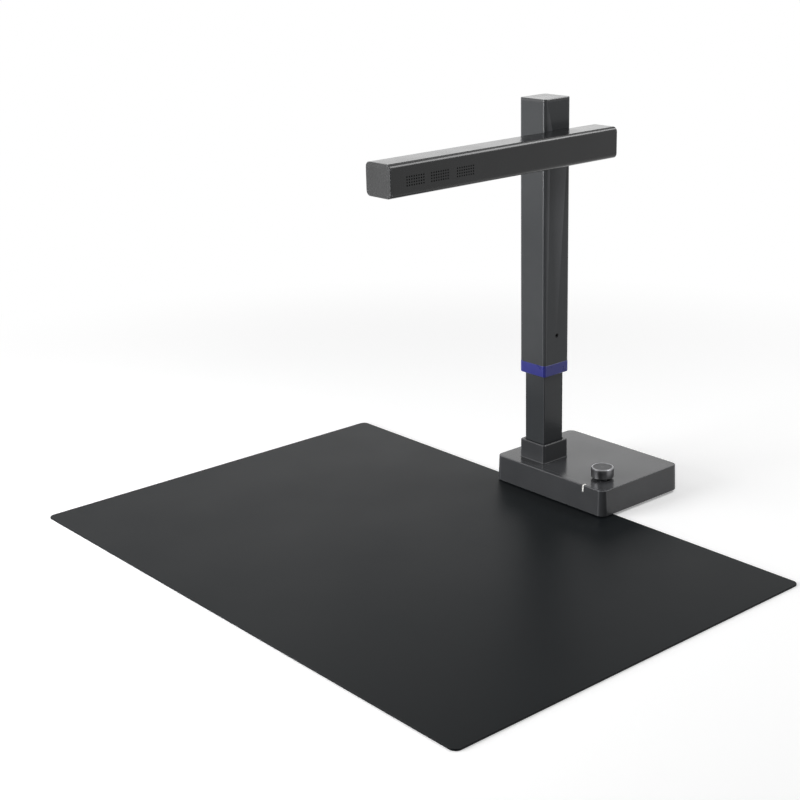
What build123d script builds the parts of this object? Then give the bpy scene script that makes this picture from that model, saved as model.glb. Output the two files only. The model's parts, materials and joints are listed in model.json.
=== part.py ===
from build123d import *

import os
from math import radians, tan

# Overhead book scanner: a weighted base, a telescoping square mast, a head that folds up beside the
# top of the mast, and a document mat. Millimetres, +Z up. The origin is on the desk, under the axis
# of the mast. +X runs from the mast towards the knob, and -Y runs out over the mat, so the lens
# looks straight down at it.
os.makedirs("parts", exist_ok=True)

# Base
base_width = 140.8
base_depth = 105.8
base_height = 25.1
base_left_reach = 35.9      # mast axis to the left side of the base top
base_front_reach = 29.5     # mast axis to the front side of the base top
base_corner_radius = 6.5
base_edge_radius = 0.8
base_draft = 2.0            # degrees, each side wall
base_wall = 2.5
base_top_wall = 3.0
plate_thickness = 2.0
plate_clearance = 0.4
post_radius = 4.0
post_inset = 10.0           # centre of a screw post from the side of the base top
rib_thickness = 1.5
rib_step = 1.5              # ribs stop this far above the plate
mast_way_wall = 2.5         # stiffening wall round the mast's way through the base top
mast_way_depth = 6.0
foot_height = 2.5
foot_length = 112.0
foot_width = 14.0
foot_corner_radius = 6.5
foot_chamfer = 0.4
foot_set_back = 17.0        # side of the base top to the near edge of a foot strip

# Fasteners
screw_radius = 1.5
screw_head_radius = 2.9
screw_length = 10.0
screw_tip_gap = 1.0         # depth of a blind screw hole beyond the screw's tip
short_screw_tip_gap = 0.2   # of the screws that end inside their last piece
screw_clearance = 0.1
cross_recess_width = 0.8
cross_recess_depth = 0.8

# Ballast and mast foot
ballast_block_gap = 7.0     # block to the main board
ballast_front_gap = 3.0     # back of the mast foot to the ballast
ballast_gap = 1.0           # to the walls and posts of the base
ballast_headroom = 4.0      # top of the block to the base's ceiling
ballast_corner_radius = 2.0
ballast_chamfer = 0.8
ballast_screw_back = 18.0   # middle of the base to its two screws
ballast_screw_inset = 12.0
mast_foot_margin = 4.5      # screw to the edge of the flange
mast_foot_screw_gap = 4.1   # side of the lower tube to a screw's axis
mast_foot_corner_radius = 4.0
mast_foot_flange = 3.0
mast_foot_spigot_height = 30.0
mast_foot_chamfer = 1.0
cable_bore_radius = 5.0

# Mast
lower_tube_side = 25.6
lower_tube_wall = 1.8
lower_tube_corner = 1.2
upper_tube_wall = 1.9
upper_tube_corner = 3.0
upper_tube_inner_corner = 1.2
slide_clearance = 0.35
fit_clearance = 0.05
collar_height = 18.7
collar_wall = 2.8          # at the top
collar_flare = 0.55         # each side, from top to bottom
collar_corner_radius = 2.7
collar_bevel = 0.7
collar_gap = 0.9            # round the lower tube
collar_rim_wall = 1.6
ring_bottom = 115.0         # height of the ring above the desk, mast raised
ring_height = 11.0
ring_proud = 0.2
ring_top_chamfer = 0.25
ring_bottom_chamfer = 0.6
bush_wall = 1.4
bush_skirt_wall = 1.6
bush_recess = 0.4           # the skirt stops this far inside the ring
bush_length = 50.0
shoe_wall = 1.2
shoe_cap = 2.0
shoe_height = 14.0
shoe_chamfer = 0.5
total_height = 376.0
mast_cap_thickness = 2.5
mast_cap_chamfer = 0.5
mast_cap_spigot = 8.0
mast_cap_spigot_wall = 2.0
spring_width = 10.0
spring_length = 36.0
spring_thickness = 0.4
spring_window_gap = 0.5
grub_screw_radius = 2.0
grub_screw_height = 27.6    # above the top of the ring
grub_screw_recess = 0.4
grub_screw_tip_gap = 0.2

# Head
pivot_drop = 41.9           # top of the mast to the axis on which the head folds
head_side_gap = 1.2         # between the side of the mast and the head
head_width = 31.5
head_height = 28.4
head_rear_reach = 43.3
head_corner_radius = 4.5
head_wall = 2.0
head_cap_thickness = 2.5
head_cap_chamfer = 0.4
head_cap_spigot = 7.0
cap_relief_gap = 0.5        # between a cap's spigot and the cover
cover_width = 23.0
cover_flange_width = 26.0
cover_flange_thickness = 1.2
lens_reach = 197.0          # mast axis to the lens axis
lens_to_front = 29.6        # lens axis to the front end of the head
lens_window_radius = 9.0
lens_window_thickness = 1.2
window_recess = 0.4
window_ledge = 1.5
lens_gap = 0.5              # lens barrel to the cover
lens_barrel_radius = 6.5
lens_barrel_length = 8.0
lens_barrel_wall = 2.0
lens_barrel_lip = 1.0
lens_grip_length = 3.0
lens_grip_step = 0.8
glass_crown = 1.2           # height of the front glass's dome
glass_set_back = 0.6
glass_thickness = 3.0
lens_holder_side = 16.0
lens_holder_corner = 1.0
lens_holder_height = 5.0
light_from_lens = 22.0      # lens axis to the near end of the light bar
light_length = 120.0
light_width = 8.0
light_corner_radius = 0.6
light_recess = 0.2
light_ledge = 1.0
light_board_margin = 3.0
lamp_count = 12
lamp_width = 2.8
lamp_length = 3.5
lamp_height = 0.8
vent_side = 1.2
vent_pitch_y = 2.6
vent_pitch_z = 2.35
vent_columns = 8
vent_rows = 4
vent_drop = 1.2             # vents sit this far below the middle of the head
vent_groups = (26.6, 53.4, 82.1)        # front end of the head to the middle of each group
board_thickness = 1.6
camera_board_length = 84.0
camera_board_width = 24.0
camera_board_gap = 2.0      # behind the front cap's spigot
rail_thickness = 1.2
rail_overlap = 1.0          # of each rail over the camera board
heat_sink_margin = 4.0      # to the ends of the camera board
heat_sink_gap = 0.6         # to the rails
heat_sink_headroom = 1.1
heat_sink_base = 1.5
fin_count = 5
fin_thickness = 1.2

# Folding hinge
shaft_radius = 5.0
shaft_bore_radius = 2.5
shaft_running_clearance = 0.05
shaft_tip = 1.5             # beyond the nut
shaft_chamfer = 0.6
hinge_plate_thickness = 3.0
hinge_plate_margin = 8.0    # screw to the end of the plate
hinge_plate_corner = 2.0
hinge_plate_screw_reach = 12.0
hinge_bush_wall = 2.0
hinge_bush_set_in = 0.2
hinge_bush_flange_rim = 1.95
hinge_bush_flange = 1.2
washer_rim = 3.5
washer_step = 0.4
washer_thickness = 0.6
washer_count = 3
nut_wall = 3.0
nut_height = 5.0
pivot_screw_spacing = 19.0
pivot_screw_grip = 8.0
pivot_block_margin = 7.5    # screw to the end of the block

# Knob and encoder
knob_side_inset = 25.0      # knob axis to the right side of the base top
knob_front_inset = 26.5
knob_radius = 10.7
knob_height = 9.3
knob_gap = 2.0              # under the knob
knob_bevel = 0.7
knob_bottom_chamfer = 0.4
knob_wall = 1.8
knob_web = 1.6              # under the disc
knob_disc_inset = 1.3       # rim width round the top disc
knob_disc_thickness = 1.0
knob_disc_recess = 0.2
knob_travel = 0.8
shaft_end_gap = 1.2         # knob shaft to the disc
encoder_side = 12.0
encoder_height = 7.0
encoder_headroom = 5.5
encoder_bushing_radius = 3.6
encoder_shaft_radius = 2.5
plunger_radius = 1.8
plunger_height = 2.2
plunger_chamfer = 0.4

# Boards, sockets and light guide
ballast_to_board = 1.5
board_gap = 1.0             # round posts and from walls
board_side_gap = 4.0        # main board to the ballast's right side
board_back_gap = 2.0
main_board_width = 66.0
main_board_depth = 40.0
chip_front_offset = 8.0     # middle of the main board to its chips
chip_height = 1.4
processor_side = 14.0
processor_offset = 4.0
memory_width = 10.0
memory_depth = 12.0
memory_offset = 18.0
spacer_radius = 3.0
spacer_side_inset = 7.0
spacer_end_inset = 10.0
control_board_width = 34.0
control_board_depth = 38.0
control_post_radius = 2.5
control_post_side_inset = 4.0
control_post_end_inset = 5.0
socket_recess = 0.3         # mouths of the sockets behind the back wall's face
socket_clearance = 0.15
data_socket_inset = 24.5    # from the right side of the base top
data_socket_width = 8.9
data_socket_height = 3.3
data_socket_depth = 8.0
data_socket_wall = 0.4
data_socket_back = 1.5
data_tongue_width = 6.6
data_tongue_thickness = 0.7
power_socket_inset = 50.5
power_socket_headroom = 0.9
power_socket_side = 9.0
power_socket_depth = 14.0
power_socket_back = 3.0
power_collar_length = 4.0
power_bore_radius = 3.1
power_pin_radius = 1.0
light_guide_width = 1.6
light_guide_thickness = 1.6
light_guide_wall_gap = 0.6
light_guide_board_gap = 1.0
light_guide_top_length = 4.0
light_guide_front_drop = 6.3

# Document mat
mat_width = 574.0
mat_depth = 388.0
mat_thickness = 1.6
mat_side_shift = 9.0          # the mat lies this far to the left of the lens
mat_foot_gap = 1.5          # between the back edge, tucked under the base, and the foot strip
mat_corner_radius = 6.0
mat_chamfer = 0.3

# Worked-out heights and places: base
base_bottom = foot_height
base_top = base_bottom + base_height
base_ceiling = base_top - base_top_wall
plate_top = base_bottom + plate_thickness
screw_hole_radius = screw_radius + screw_clearance
screw_seat_radius = screw_head_radius + screw_clearance
base_mid_x = base_width / 2 - base_left_reach
base_mid_y = base_depth / 2 - base_front_reach
base_right = base_width - base_left_reach
base_back = base_depth - base_front_reach
base_spread = base_height * tan(radians(base_draft))
post_points = [
    (base_mid_x + side_x * (base_width / 2 - post_inset), base_mid_y + side_y * (base_depth / 2 - post_inset))
    for side_x in (-1, 1)
    for side_y in (-1, 1)
]
rear_corners = [(-base_left_reach, base_back), (base_right, base_back)]
mast_foot_screw_reach = lower_tube_side / 2 + mast_foot_screw_gap
mast_foot_side = 2 * (mast_foot_screw_reach + mast_foot_margin)
mast_foot_points = [
    (side_x * mast_foot_screw_reach, side_y * mast_foot_screw_reach)
    for side_x in (-1, 1)
    for side_y in (-1, 1)
]
ballast_front = mast_foot_side / 2 + ballast_front_gap
ballast_back = base_back - base_wall - ballast_gap
ballast_left = -base_left_reach + base_wall + ballast_gap
ballast_right = base_right - base_wall - ballast_gap
main_board_x = ballast_right - main_board_width / 2 - board_side_gap
main_board_y = ballast_back - main_board_depth / 2 - board_back_gap
ballast_block_width = main_board_x - main_board_width / 2 - ballast_block_gap - ballast_left
ballast_screw_y = base_mid_y + ballast_screw_back
ballast_points = [
    (ballast_left + ballast_block_width / 2, ballast_screw_y),
    (ballast_right - ballast_screw_inset, ballast_screw_y),
]
main_board_top = base_ceiling - power_socket_headroom - power_socket_side
main_board_bottom = main_board_top - board_thickness
ballast_top = main_board_bottom - ballast_to_board
ballast_block_top = base_ceiling - ballast_headroom
foot_front_y = -base_front_reach + foot_set_back + foot_width / 2
foot_back_y = base_back - foot_set_back + base_wall - foot_width / 2

# Worked-out heights and places: mast
lower_tube_bottom = plate_top + mast_foot_flange
lower_tube_inner = lower_tube_side - 2 * lower_tube_wall
bush_inner = lower_tube_side + 2 * slide_clearance
bush_side = bush_inner + 2 * bush_wall
bush_skirt_side = bush_inner + 2 * bush_skirt_wall
upper_tube_inner = bush_side + 2 * fit_clearance
upper_tube_side = upper_tube_inner + 2 * upper_tube_wall
upper_tube_top = total_height - mast_cap_thickness
ring_top = ring_bottom + ring_height
bush_bottom = ring_bottom + bush_recess
bush_top = ring_bottom + bush_skirt_wall + bush_length
shoe_bottom = bush_top + slide_clearance
lower_tube_top = shoe_bottom + shoe_height - shoe_cap
collar_inner = lower_tube_side + 2 * collar_gap
collar_rim_side = collar_inner + 2 * collar_rim_wall
collar_top_side = collar_inner + 2 * collar_wall
collar_bottom_side = collar_top_side + 2 * collar_flare
grub_screw_z = ring_top + grub_screw_height
pivot_block_height = pivot_screw_spacing + 2 * pivot_block_margin

# Worked-out heights and places: head
head_mid_height = total_height - pivot_drop
head_front_reach = lens_reach + lens_to_front
head_inner_x = upper_tube_side / 2 + head_side_gap
head_mid_x = head_inner_x + head_width / 2
head_outer_x = head_inner_x + head_width
head_bottom = head_mid_height - head_height / 2
head_top = head_mid_height + head_height / 2
housing_front = -head_front_reach + head_cap_thickness
housing_back = head_rear_reach - head_cap_thickness
housing_mid_y = (housing_front + housing_back) / 2
housing_length = housing_back - housing_front
head_cavity_width = head_width - 2 * head_wall
head_cavity_height = head_height - 2 * head_wall
head_cavity_radius = head_corner_radius - head_wall
cover_top = head_bottom + head_wall + cover_flange_thickness
head_ceiling = head_top - head_wall
lens_holder_bottom = cover_top + lens_gap + lens_barrel_length
camera_board_bottom = lens_holder_bottom + lens_holder_height
camera_board_top = camera_board_bottom + board_thickness
camera_board_front = housing_front + head_cap_spigot + camera_board_gap
camera_board_mid_y = camera_board_front + camera_board_length / 2
rail_width = (head_cavity_width - camera_board_width) / 2 + rail_overlap
heat_sink_width = head_cavity_width - 2 * (rail_width + heat_sink_gap)
heat_sink_height = head_ceiling - heat_sink_headroom - camera_board_top
light_mid_y = -lens_reach + light_from_lens + light_length / 2
hinge_plate_x = head_inner_x + head_wall
hinge_plate_length = 2 * (hinge_plate_screw_reach + hinge_plate_margin)
hinge_bush_end = hinge_plate_x + hinge_plate_thickness
hinge_bush_radius = shaft_radius + shaft_running_clearance + hinge_bush_wall
washer_start = hinge_bush_end + hinge_bush_flange + slide_clearance
nut_start = washer_start + washer_count * washer_thickness
shaft_end = nut_start + nut_height + shaft_tip

# Worked-out heights and places: knob, encoder and sockets
knob_x = base_right - knob_side_inset
knob_y = -base_front_reach + knob_front_inset
knob_bottom = base_top + knob_gap
knob_top = knob_bottom + knob_height
shaft_knob_top = knob_top - knob_disc_thickness - shaft_end_gap
light_guide_x = knob_x
control_board_top = base_ceiling - encoder_headroom - encoder_height
control_board_bottom = control_board_top - board_thickness
control_board_x = post_points[-1][0] - post_radius - board_gap - control_board_width / 2
control_board_y = -base_front_reach + base_wall + board_gap + control_board_depth / 2
encoder_top = control_board_top + encoder_height
plunger_bottom = control_board_top + knob_travel + 2 * slide_clearance
plunger_top = plunger_bottom + plunger_height
shaft_bottom = plunger_top + slide_clearance
power_socket_x = base_right - power_socket_inset
data_socket_x = base_right - data_socket_inset
socket_mouth_y = base_back - socket_recess


def countersunk_screw(length):
    """A countersunk screw standing on its head: head face at height 0, thread upwards."""
    head_depth = screw_head_radius - screw_radius
    with BuildPart() as screw:
        with BuildSketch(Plane.XZ):
            with BuildLine():
                Polyline(
                    (0, 0),
                    (screw_head_radius, 0),
                    (screw_radius, head_depth),
                    (screw_radius, length - screw_radius),
                    (screw_radius / 2, length),
                    (0, length),
                    close=True,
                )
            make_face()
        revolve(axis=Axis.Z)
        with BuildSketch(Plane.XY):
            Rectangle(2 * screw_radius, cross_recess_width)
            Rectangle(cross_recess_width, 2 * screw_radius)
        extrude(amount=cross_recess_depth, mode=Mode.SUBTRACT)
    return screw.part


def side_plane(x, z, facing=1):
    """The plane at x, its origin at height z, that faces +X, or -X with facing -1; its X axis is +Y."""
    return Plane(origin=(x, 0, z), x_dir=(0, 1, 0), z_dir=(facing, 0, 0))


def head_profile_plane(y):
    """The head's cross-section plane at a given y: its normal points to the back, +Y."""
    return Plane(origin=(head_mid_x, y, head_mid_height), x_dir=(-1, 0, 0), z_dir=(0, 1, 0))


def head_end_cap(face_y, outwards):
    """An end cap of the head: a plate with eased rim, and a spigot that plugs the housing."""
    with BuildPart() as cap:
        with BuildSketch(head_profile_plane(face_y)):
            RectangleRounded(head_width, head_height, head_corner_radius)
        extrude(amount=outwards * head_cap_thickness)
        outer_face = cap.faces().sort_by(Axis.Y)[-1 if outwards > 0 else 0]
        chamfer(outer_face.edges(), head_cap_chamfer)
        spigot_width = head_cavity_width - 2 * fit_clearance
        spigot_height = head_cavity_height - 2 * fit_clearance
        with BuildSketch(head_profile_plane(face_y)):
            RectangleRounded(spigot_width, spigot_height, head_cavity_radius)
            Rectangle(spigot_width - 2 * head_wall, head_cavity_height, mode=Mode.SUBTRACT)
        extrude(amount=-outwards * head_cap_spigot)
        relief_origin = (head_mid_x, face_y, head_bottom + head_wall)
        with BuildSketch(Plane(origin=relief_origin, x_dir=(-1, 0, 0), z_dir=(0, 1, 0))):
            Rectangle(cover_flange_width + 2 * cap_relief_gap, 2 * (cover_flange_thickness + cap_relief_gap))
        extrude(amount=-outwards * head_cap_spigot, mode=Mode.SUBTRACT)
    return cap


# Base shell: a drafted moulded housing, open below, with screw posts, ribs and its openings
with BuildPart() as base_shell:
    with BuildSketch(Plane.XY.offset(base_bottom)):
        with Locations((base_mid_x, base_mid_y)):
            RectangleRounded(
                base_width + 2 * base_spread, base_depth + 2 * base_spread, base_corner_radius + base_spread
            )
    extrude(amount=base_height, taper=base_draft)
    fillet(base_shell.faces().sort_by(Axis.Z)[-1].edges(), base_edge_radius)
    inner_width = base_width + 2 * base_spread - 2 * base_wall
    inner_depth = base_depth + 2 * base_spread - 2 * base_wall
    with BuildSketch(Plane.XY.offset(base_bottom)):
        with Locations((base_mid_x, base_mid_y)):
            RectangleRounded(inner_width, inner_depth, base_corner_radius + base_spread - base_wall)
    extrude(amount=base_height - base_top_wall, taper=base_draft, mode=Mode.SUBTRACT)
    # Screw posts hang from the ceiling down to the plate, and ribs tie each to its two walls
    with BuildSketch(Plane.XY.offset(plate_top)):
        with Locations(*post_points):
            Circle(post_radius)
    extrude(amount=base_ceiling - plate_top)
    rib_reach = post_inset - base_wall / 2
    with BuildSketch(Plane.XY.offset(plate_top + rib_step)):
        for x, y in post_points:
            side_x = 1 if x > base_mid_x else -1
            side_y = 1 if y > base_mid_y else -1
            with Locations((x + side_x * rib_reach / 2, y)):
                Rectangle(rib_reach, rib_thickness)
            with Locations((x, y + side_y * rib_reach / 2)):
                Rectangle(rib_thickness, rib_reach)
    extrude(amount=base_ceiling - plate_top - rib_step)
    with BuildSketch(Plane.XY.offset(plate_top)):
        with Locations(*post_points):
            Circle(screw_hole_radius)
    extrude(amount=screw_length, mode=Mode.SUBTRACT)
    # Square way for the mast, with its stiffening wall round it
    way_side = collar_rim_side + 2 * mast_way_wall
    with BuildSketch(Plane.XY.offset(base_ceiling - mast_way_depth)):
        RectangleRounded(way_side, way_side, collar_corner_radius)
    extrude(amount=mast_way_depth)
    with BuildSketch(Plane.XY.offset(base_top)):
        Rectangle(collar_rim_side + 2 * fit_clearance, collar_rim_side + 2 * fit_clearance)
    extrude(amount=-base_height, mode=Mode.SUBTRACT)
    # Hole for the encoder bushing
    with BuildSketch(Plane.XY.offset(base_top)):
        with Locations((knob_x, knob_y)):
            Circle(encoder_bushing_radius + socket_clearance)
    extrude(amount=-base_top_wall, mode=Mode.SUBTRACT)
    # Slot for the light guide, through the top's front edge and down the front wall
    guide_slot_width = light_guide_width + 2 * fit_clearance
    front_face_y = -base_front_reach
    with BuildSketch(Plane.XY.offset(base_top)):
        with Locations((light_guide_x, front_face_y + light_guide_top_length)):
            Rectangle(
                guide_slot_width, light_guide_top_length + 2 * base_wall, align=(Align.CENTER, Align.MAX)
            )
    extrude(amount=-light_guide_front_drop, mode=Mode.SUBTRACT)
    # Openings for the sockets in the back wall
    with BuildSketch(Plane(origin=(0, base_back + base_wall, 0), x_dir=(-1, 0, 0), z_dir=(0, 1, 0))):
        with Locations((-power_socket_x, main_board_top + power_socket_side / 2)):
            Circle(power_socket_side / 2 + socket_clearance)
        with Locations((-data_socket_x, main_board_top + data_socket_height / 2)):
            SlotOverall(data_socket_width + 2 * socket_clearance, data_socket_height + 2 * socket_clearance)
    extrude(amount=-3 * base_wall, mode=Mode.SUBTRACT)
base_shell.part.label = "base_shell"
export_step(base_shell.part, "parts/base_shell.step")

# Base plate: folded steel closing the shell, with countersunk holes
plate_spread = (base_height - plate_thickness) * tan(radians(base_draft))
plate_width = base_width + 2 * plate_spread - 2 * base_wall - 2 * plate_clearance
plate_depth = base_depth + 2 * plate_spread - 2 * base_wall - 2 * plate_clearance
with BuildPart() as base_plate:
    with BuildSketch(Plane.XY.offset(base_bottom)):
        with Locations((base_mid_x, base_mid_y)):
            RectangleRounded(plate_width, plate_depth, base_corner_radius - base_wall)
    extrude(amount=plate_thickness)
    with Locations(Plane(origin=(0, 0, base_bottom), x_dir=(1, 0, 0), z_dir=(0, 0, -1))):
        with Locations(*[(x, -y) for x, y in post_points + mast_foot_points + ballast_points]):
            CounterSinkHole(screw_hole_radius, screw_seat_radius, plate_thickness)
base_plate.part.label = "base_plate"
export_step(base_plate.part, "parts/base_plate.step")

# Foot strips: two rubber strips across the underside
with BuildPart() as foot_strips:
    with BuildSketch(Plane.XY):
        with Locations((base_mid_x, foot_front_y), (base_mid_x, foot_back_y)):
            RectangleRounded(foot_length, foot_width, foot_corner_radius)
    extrude(amount=foot_height)
    chamfer(foot_strips.faces().group_by(Axis.Z)[0].edges(), foot_chamfer)
foot_strips.part.label = "foot_strips"
export_step(foot_strips.part, "parts/foot_strips.step")

# Base screws: the four that hold the plate to the shell's posts
base_screw_form = countersunk_screw(plate_thickness + screw_length - screw_tip_gap)
with BuildPart() as base_screws:
    with Locations(*[(x, y, base_bottom) for x, y in post_points]):
        add(base_screw_form)
base_screws.part.label = "base_screws"
export_step(base_screws.part, "parts/base_screws.step")

# Ballast: a cast iron slab under the main board, stepped up to a block at the left
with BuildPart() as ballast:
    ballast_depth = ballast_back - ballast_front
    ballast_mid_y = ballast_front + ballast_depth / 2
    with BuildSketch(Plane.XY.offset(plate_top)):
        with Locations(((ballast_left + ballast_right) / 2, ballast_mid_y)):
            RectangleRounded(ballast_right - ballast_left, ballast_depth, ballast_corner_radius)
    extrude(amount=ballast_top - plate_top)
    with BuildSketch(Plane.XY.offset(plate_top)):
        with Locations((ballast_left + ballast_block_width / 2, ballast_mid_y)):
            RectangleRounded(ballast_block_width, ballast_depth, ballast_corner_radius)
    extrude(amount=ballast_block_top - plate_top)
    chamfer(ballast.faces().sort_by(Axis.Z)[-1].edges(), ballast_chamfer)
    notch_reach = post_inset + post_radius + ballast_gap
    with BuildSketch(Plane.XY.offset(plate_top)):
        with Locations(*rear_corners):
            Rectangle(2 * notch_reach, 2 * notch_reach)
    extrude(amount=base_height, mode=Mode.SUBTRACT)
    with BuildSketch(Plane.XY.offset(plate_top)):
        with Locations(*ballast_points):
            Circle(screw_hole_radius)
    extrude(amount=mast_foot_flange, mode=Mode.SUBTRACT)
ballast.part.label = "ballast"
export_step(ballast.part, "parts/ballast.step")

# Mast foot: a die-cast flange with a square spigot that the lower tube stands over
spigot_side = lower_tube_inner - 2 * fit_clearance
with BuildPart() as mast_foot:
    with BuildSketch(Plane.XY.offset(plate_top)):
        RectangleRounded(mast_foot_side, mast_foot_side, mast_foot_corner_radius)
    extrude(amount=mast_foot_flange)
    with BuildSketch(Plane.XY.offset(lower_tube_bottom)):
        Rectangle(spigot_side, spigot_side)
    extrude(amount=mast_foot_spigot_height)
    chamfer(mast_foot.faces().sort_by(Axis.Z)[-1].edges(), mast_foot_chamfer)
    with BuildSketch(Plane.XY.offset(plate_top)):
        Circle(cable_bore_radius)
        with Locations(*mast_foot_points):
            Circle(screw_hole_radius)
    extrude(amount=mast_foot_flange + mast_foot_spigot_height, mode=Mode.SUBTRACT)
mast_foot.part.label = "mast_foot"
export_step(mast_foot.part, "parts/mast_foot.step")

# Inner screws: the mast foot's four and the ballast's two, from below
inner_screw_form = countersunk_screw(plate_thickness + mast_foot_flange - short_screw_tip_gap)
with BuildPart() as inner_screws:
    with Locations(*[(x, y, base_bottom) for x, y in mast_foot_points + ballast_points]):
        add(inner_screw_form)
inner_screws.part.label = "inner_screws"
export_step(inner_screws.part, "parts/inner_screws.step")

# Mast collar: the bevelled cover round the foot of the mast, with a rim that drops into the shell
with BuildPart() as mast_collar:
    with BuildSketch(Plane.XY.offset(base_top)):
        RectangleRounded(collar_bottom_side, collar_bottom_side, collar_corner_radius)
    with BuildSketch(Plane.XY.offset(base_top + collar_height)):
        RectangleRounded(collar_top_side, collar_top_side, collar_corner_radius)
    loft()
    chamfer(mast_collar.faces().sort_by(Axis.Z)[-1].edges(), collar_bevel)
    chamfer(mast_collar.faces().sort_by(Axis.Z)[0].edges(), collar_bevel / 2)
    with BuildSketch(Plane.XY.offset(base_top)):
        Rectangle(collar_rim_side, collar_rim_side)
    extrude(amount=-base_top_wall)
    with BuildSketch(Plane.XY.offset(base_top - base_top_wall)):
        RectangleRounded(collar_inner, collar_inner, lower_tube_corner + collar_gap)
    extrude(amount=base_top_wall + collar_height, mode=Mode.SUBTRACT)
mast_collar.part.label = "mast_collar"
export_step(mast_collar.part, "parts/mast_collar.step")

# Lower tube: a square aluminium tube fixed to the base
with BuildPart() as lower_tube:
    with BuildSketch(Plane.XY.offset(lower_tube_bottom)):
        RectangleRounded(lower_tube_side, lower_tube_side, lower_tube_corner)
        Rectangle(lower_tube_inner, lower_tube_inner, mode=Mode.SUBTRACT)
    extrude(amount=lower_tube_top - lower_tube_bottom)
lower_tube.part.label = "lower_tube"
export_step(lower_tube.part, "parts/lower_tube.step")

# Guide shoe: a slippery cap on the lower tube's top end that steadies the upper tube
shoe_side = lower_tube_side + 2 * shoe_wall
with BuildPart() as guide_shoe:
    with BuildSketch(Plane.XY.offset(shoe_bottom)):
        RectangleRounded(shoe_side, shoe_side, upper_tube_inner_corner)
    extrude(amount=shoe_height)
    with BuildSketch(Plane.XY.offset(shoe_bottom)):
        RectangleRounded(lower_tube_side, lower_tube_side, lower_tube_corner)
    extrude(amount=shoe_height - shoe_cap, mode=Mode.SUBTRACT)
    with BuildSketch(Plane.XY.offset(lower_tube_top)):
        Circle(cable_bore_radius)
    extrude(amount=shoe_cap, mode=Mode.SUBTRACT)
    chamfer(guide_shoe.faces().sort_by(Axis.Z)[-1].outer_wire().edges(), shoe_chamfer)
guide_shoe.part.label = "guide_shoe"
export_step(guide_shoe.part, "parts/guide_shoe.step")

# Upper tube: slides over the lower one, with the pivot's hole high in its head side
with BuildPart() as upper_tube:
    with BuildSketch(Plane.XY.offset(ring_top)):
        RectangleRounded(upper_tube_side, upper_tube_side, upper_tube_corner)
        RectangleRounded(upper_tube_inner, upper_tube_inner, upper_tube_inner_corner, mode=Mode.SUBTRACT)
    extrude(amount=upper_tube_top - ring_top)
    with BuildSketch(side_plane(0, 0)):
        with Locations((0, head_mid_height)):
            Circle(shaft_radius + fit_clearance)
        with Locations((0, grub_screw_z)):
            Circle(grub_screw_radius + fit_clearance)
    extrude(amount=upper_tube_side, mode=Mode.SUBTRACT)
    with Locations(side_plane(upper_tube_side / 2, head_mid_height)):
        with GridLocations(pivot_screw_spacing, pivot_screw_spacing, 2, 2):
            CounterSinkHole(screw_hole_radius, screw_seat_radius, upper_tube_wall)
upper_tube.part.label = "upper_tube"
export_step(upper_tube.part, "parts/upper_tube.step")

# Height ring: the coloured trim ring round the mouth of the upper tube
ring_side = upper_tube_side + 2 * ring_proud
with BuildPart() as height_ring:
    with BuildSketch(Plane.XY.offset(ring_bottom)):
        RectangleRounded(ring_side, ring_side, upper_tube_corner + ring_proud)
    extrude(amount=ring_height)
    chamfer(height_ring.faces().sort_by(Axis.Z)[-1].edges(), ring_top_chamfer)
    chamfer(height_ring.faces().sort_by(Axis.Z)[0].edges(), ring_bottom_chamfer)
    with BuildSketch(Plane.XY.offset(ring_bottom)):
        Rectangle(bush_skirt_side + 2 * fit_clearance, bush_skirt_side + 2 * fit_clearance)
    extrude(amount=ring_height, mode=Mode.SUBTRACT)
height_ring.part.label = "height_ring"
export_step(height_ring.part, "parts/height_ring.step")

# Guide bush: lines the mouth of the upper tube, with a window for the friction spring
with BuildPart() as guide_bush:
    with BuildSketch(Plane.XY.offset(bush_bottom)):
        Rectangle(bush_skirt_side, bush_skirt_side)
    extrude(amount=ring_top - bush_bottom)
    with BuildSketch(Plane.XY.offset(ring_top)):
        RectangleRounded(bush_side, bush_side, upper_tube_inner_corner)
    extrude(amount=bush_top - ring_top)
    with BuildSketch(Plane.XY.offset(bush_bottom)):
        RectangleRounded(bush_inner, bush_inner, lower_tube_corner)
    extrude(amount=bush_top - bush_bottom, mode=Mode.SUBTRACT)
    spring_mid_z = (ring_top + bush_top) / 2
    with BuildSketch(side_plane(0, 0)):
        with Locations((0, spring_mid_z)):
            Rectangle(spring_width + 2 * spring_window_gap, spring_length + 2 * spring_window_gap)
    extrude(amount=-upper_tube_side / 2, mode=Mode.SUBTRACT)
    with BuildSketch(side_plane(0, 0)):
        with Locations((0, grub_screw_z)):
            Circle(grub_screw_radius + fit_clearance)
    extrude(amount=upper_tube_side / 2, mode=Mode.SUBTRACT)
guide_bush.part.label = "guide_bush"
export_step(guide_bush.part, "parts/guide_bush.step")

# Friction spring: a bowed leaf in the bush's window that presses on the lower tube
spring_outer = upper_tube_inner / 2 - fit_clearance
spring_inner = lower_tube_side / 2 + slide_clearance / 2
spring_bow = spring_outer - spring_inner - spring_thickness
with BuildPart() as friction_spring:
    with BuildSketch(Plane.XZ):
        with BuildLine():
            spring_low = spring_mid_z - spring_length / 2
            spring_high = spring_mid_z + spring_length / 2
            outer_arc = ThreePointArc(
                (-spring_outer, spring_low),
                (-spring_outer + spring_bow, spring_mid_z),
                (-spring_outer, spring_high),
            )
            inner_arc = ThreePointArc(
                (-spring_outer + spring_thickness, spring_low),
                (-spring_inner, spring_mid_z),
                (-spring_outer + spring_thickness, spring_high),
            )
            Line(outer_arc @ 0, inner_arc @ 0)
            Line(outer_arc @ 1, inner_arc @ 1)
        make_face()
    extrude(amount=spring_width / 2, both=True)
friction_spring.part.label = "friction_spring"
export_step(friction_spring.part, "parts/friction_spring.step")

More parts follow.
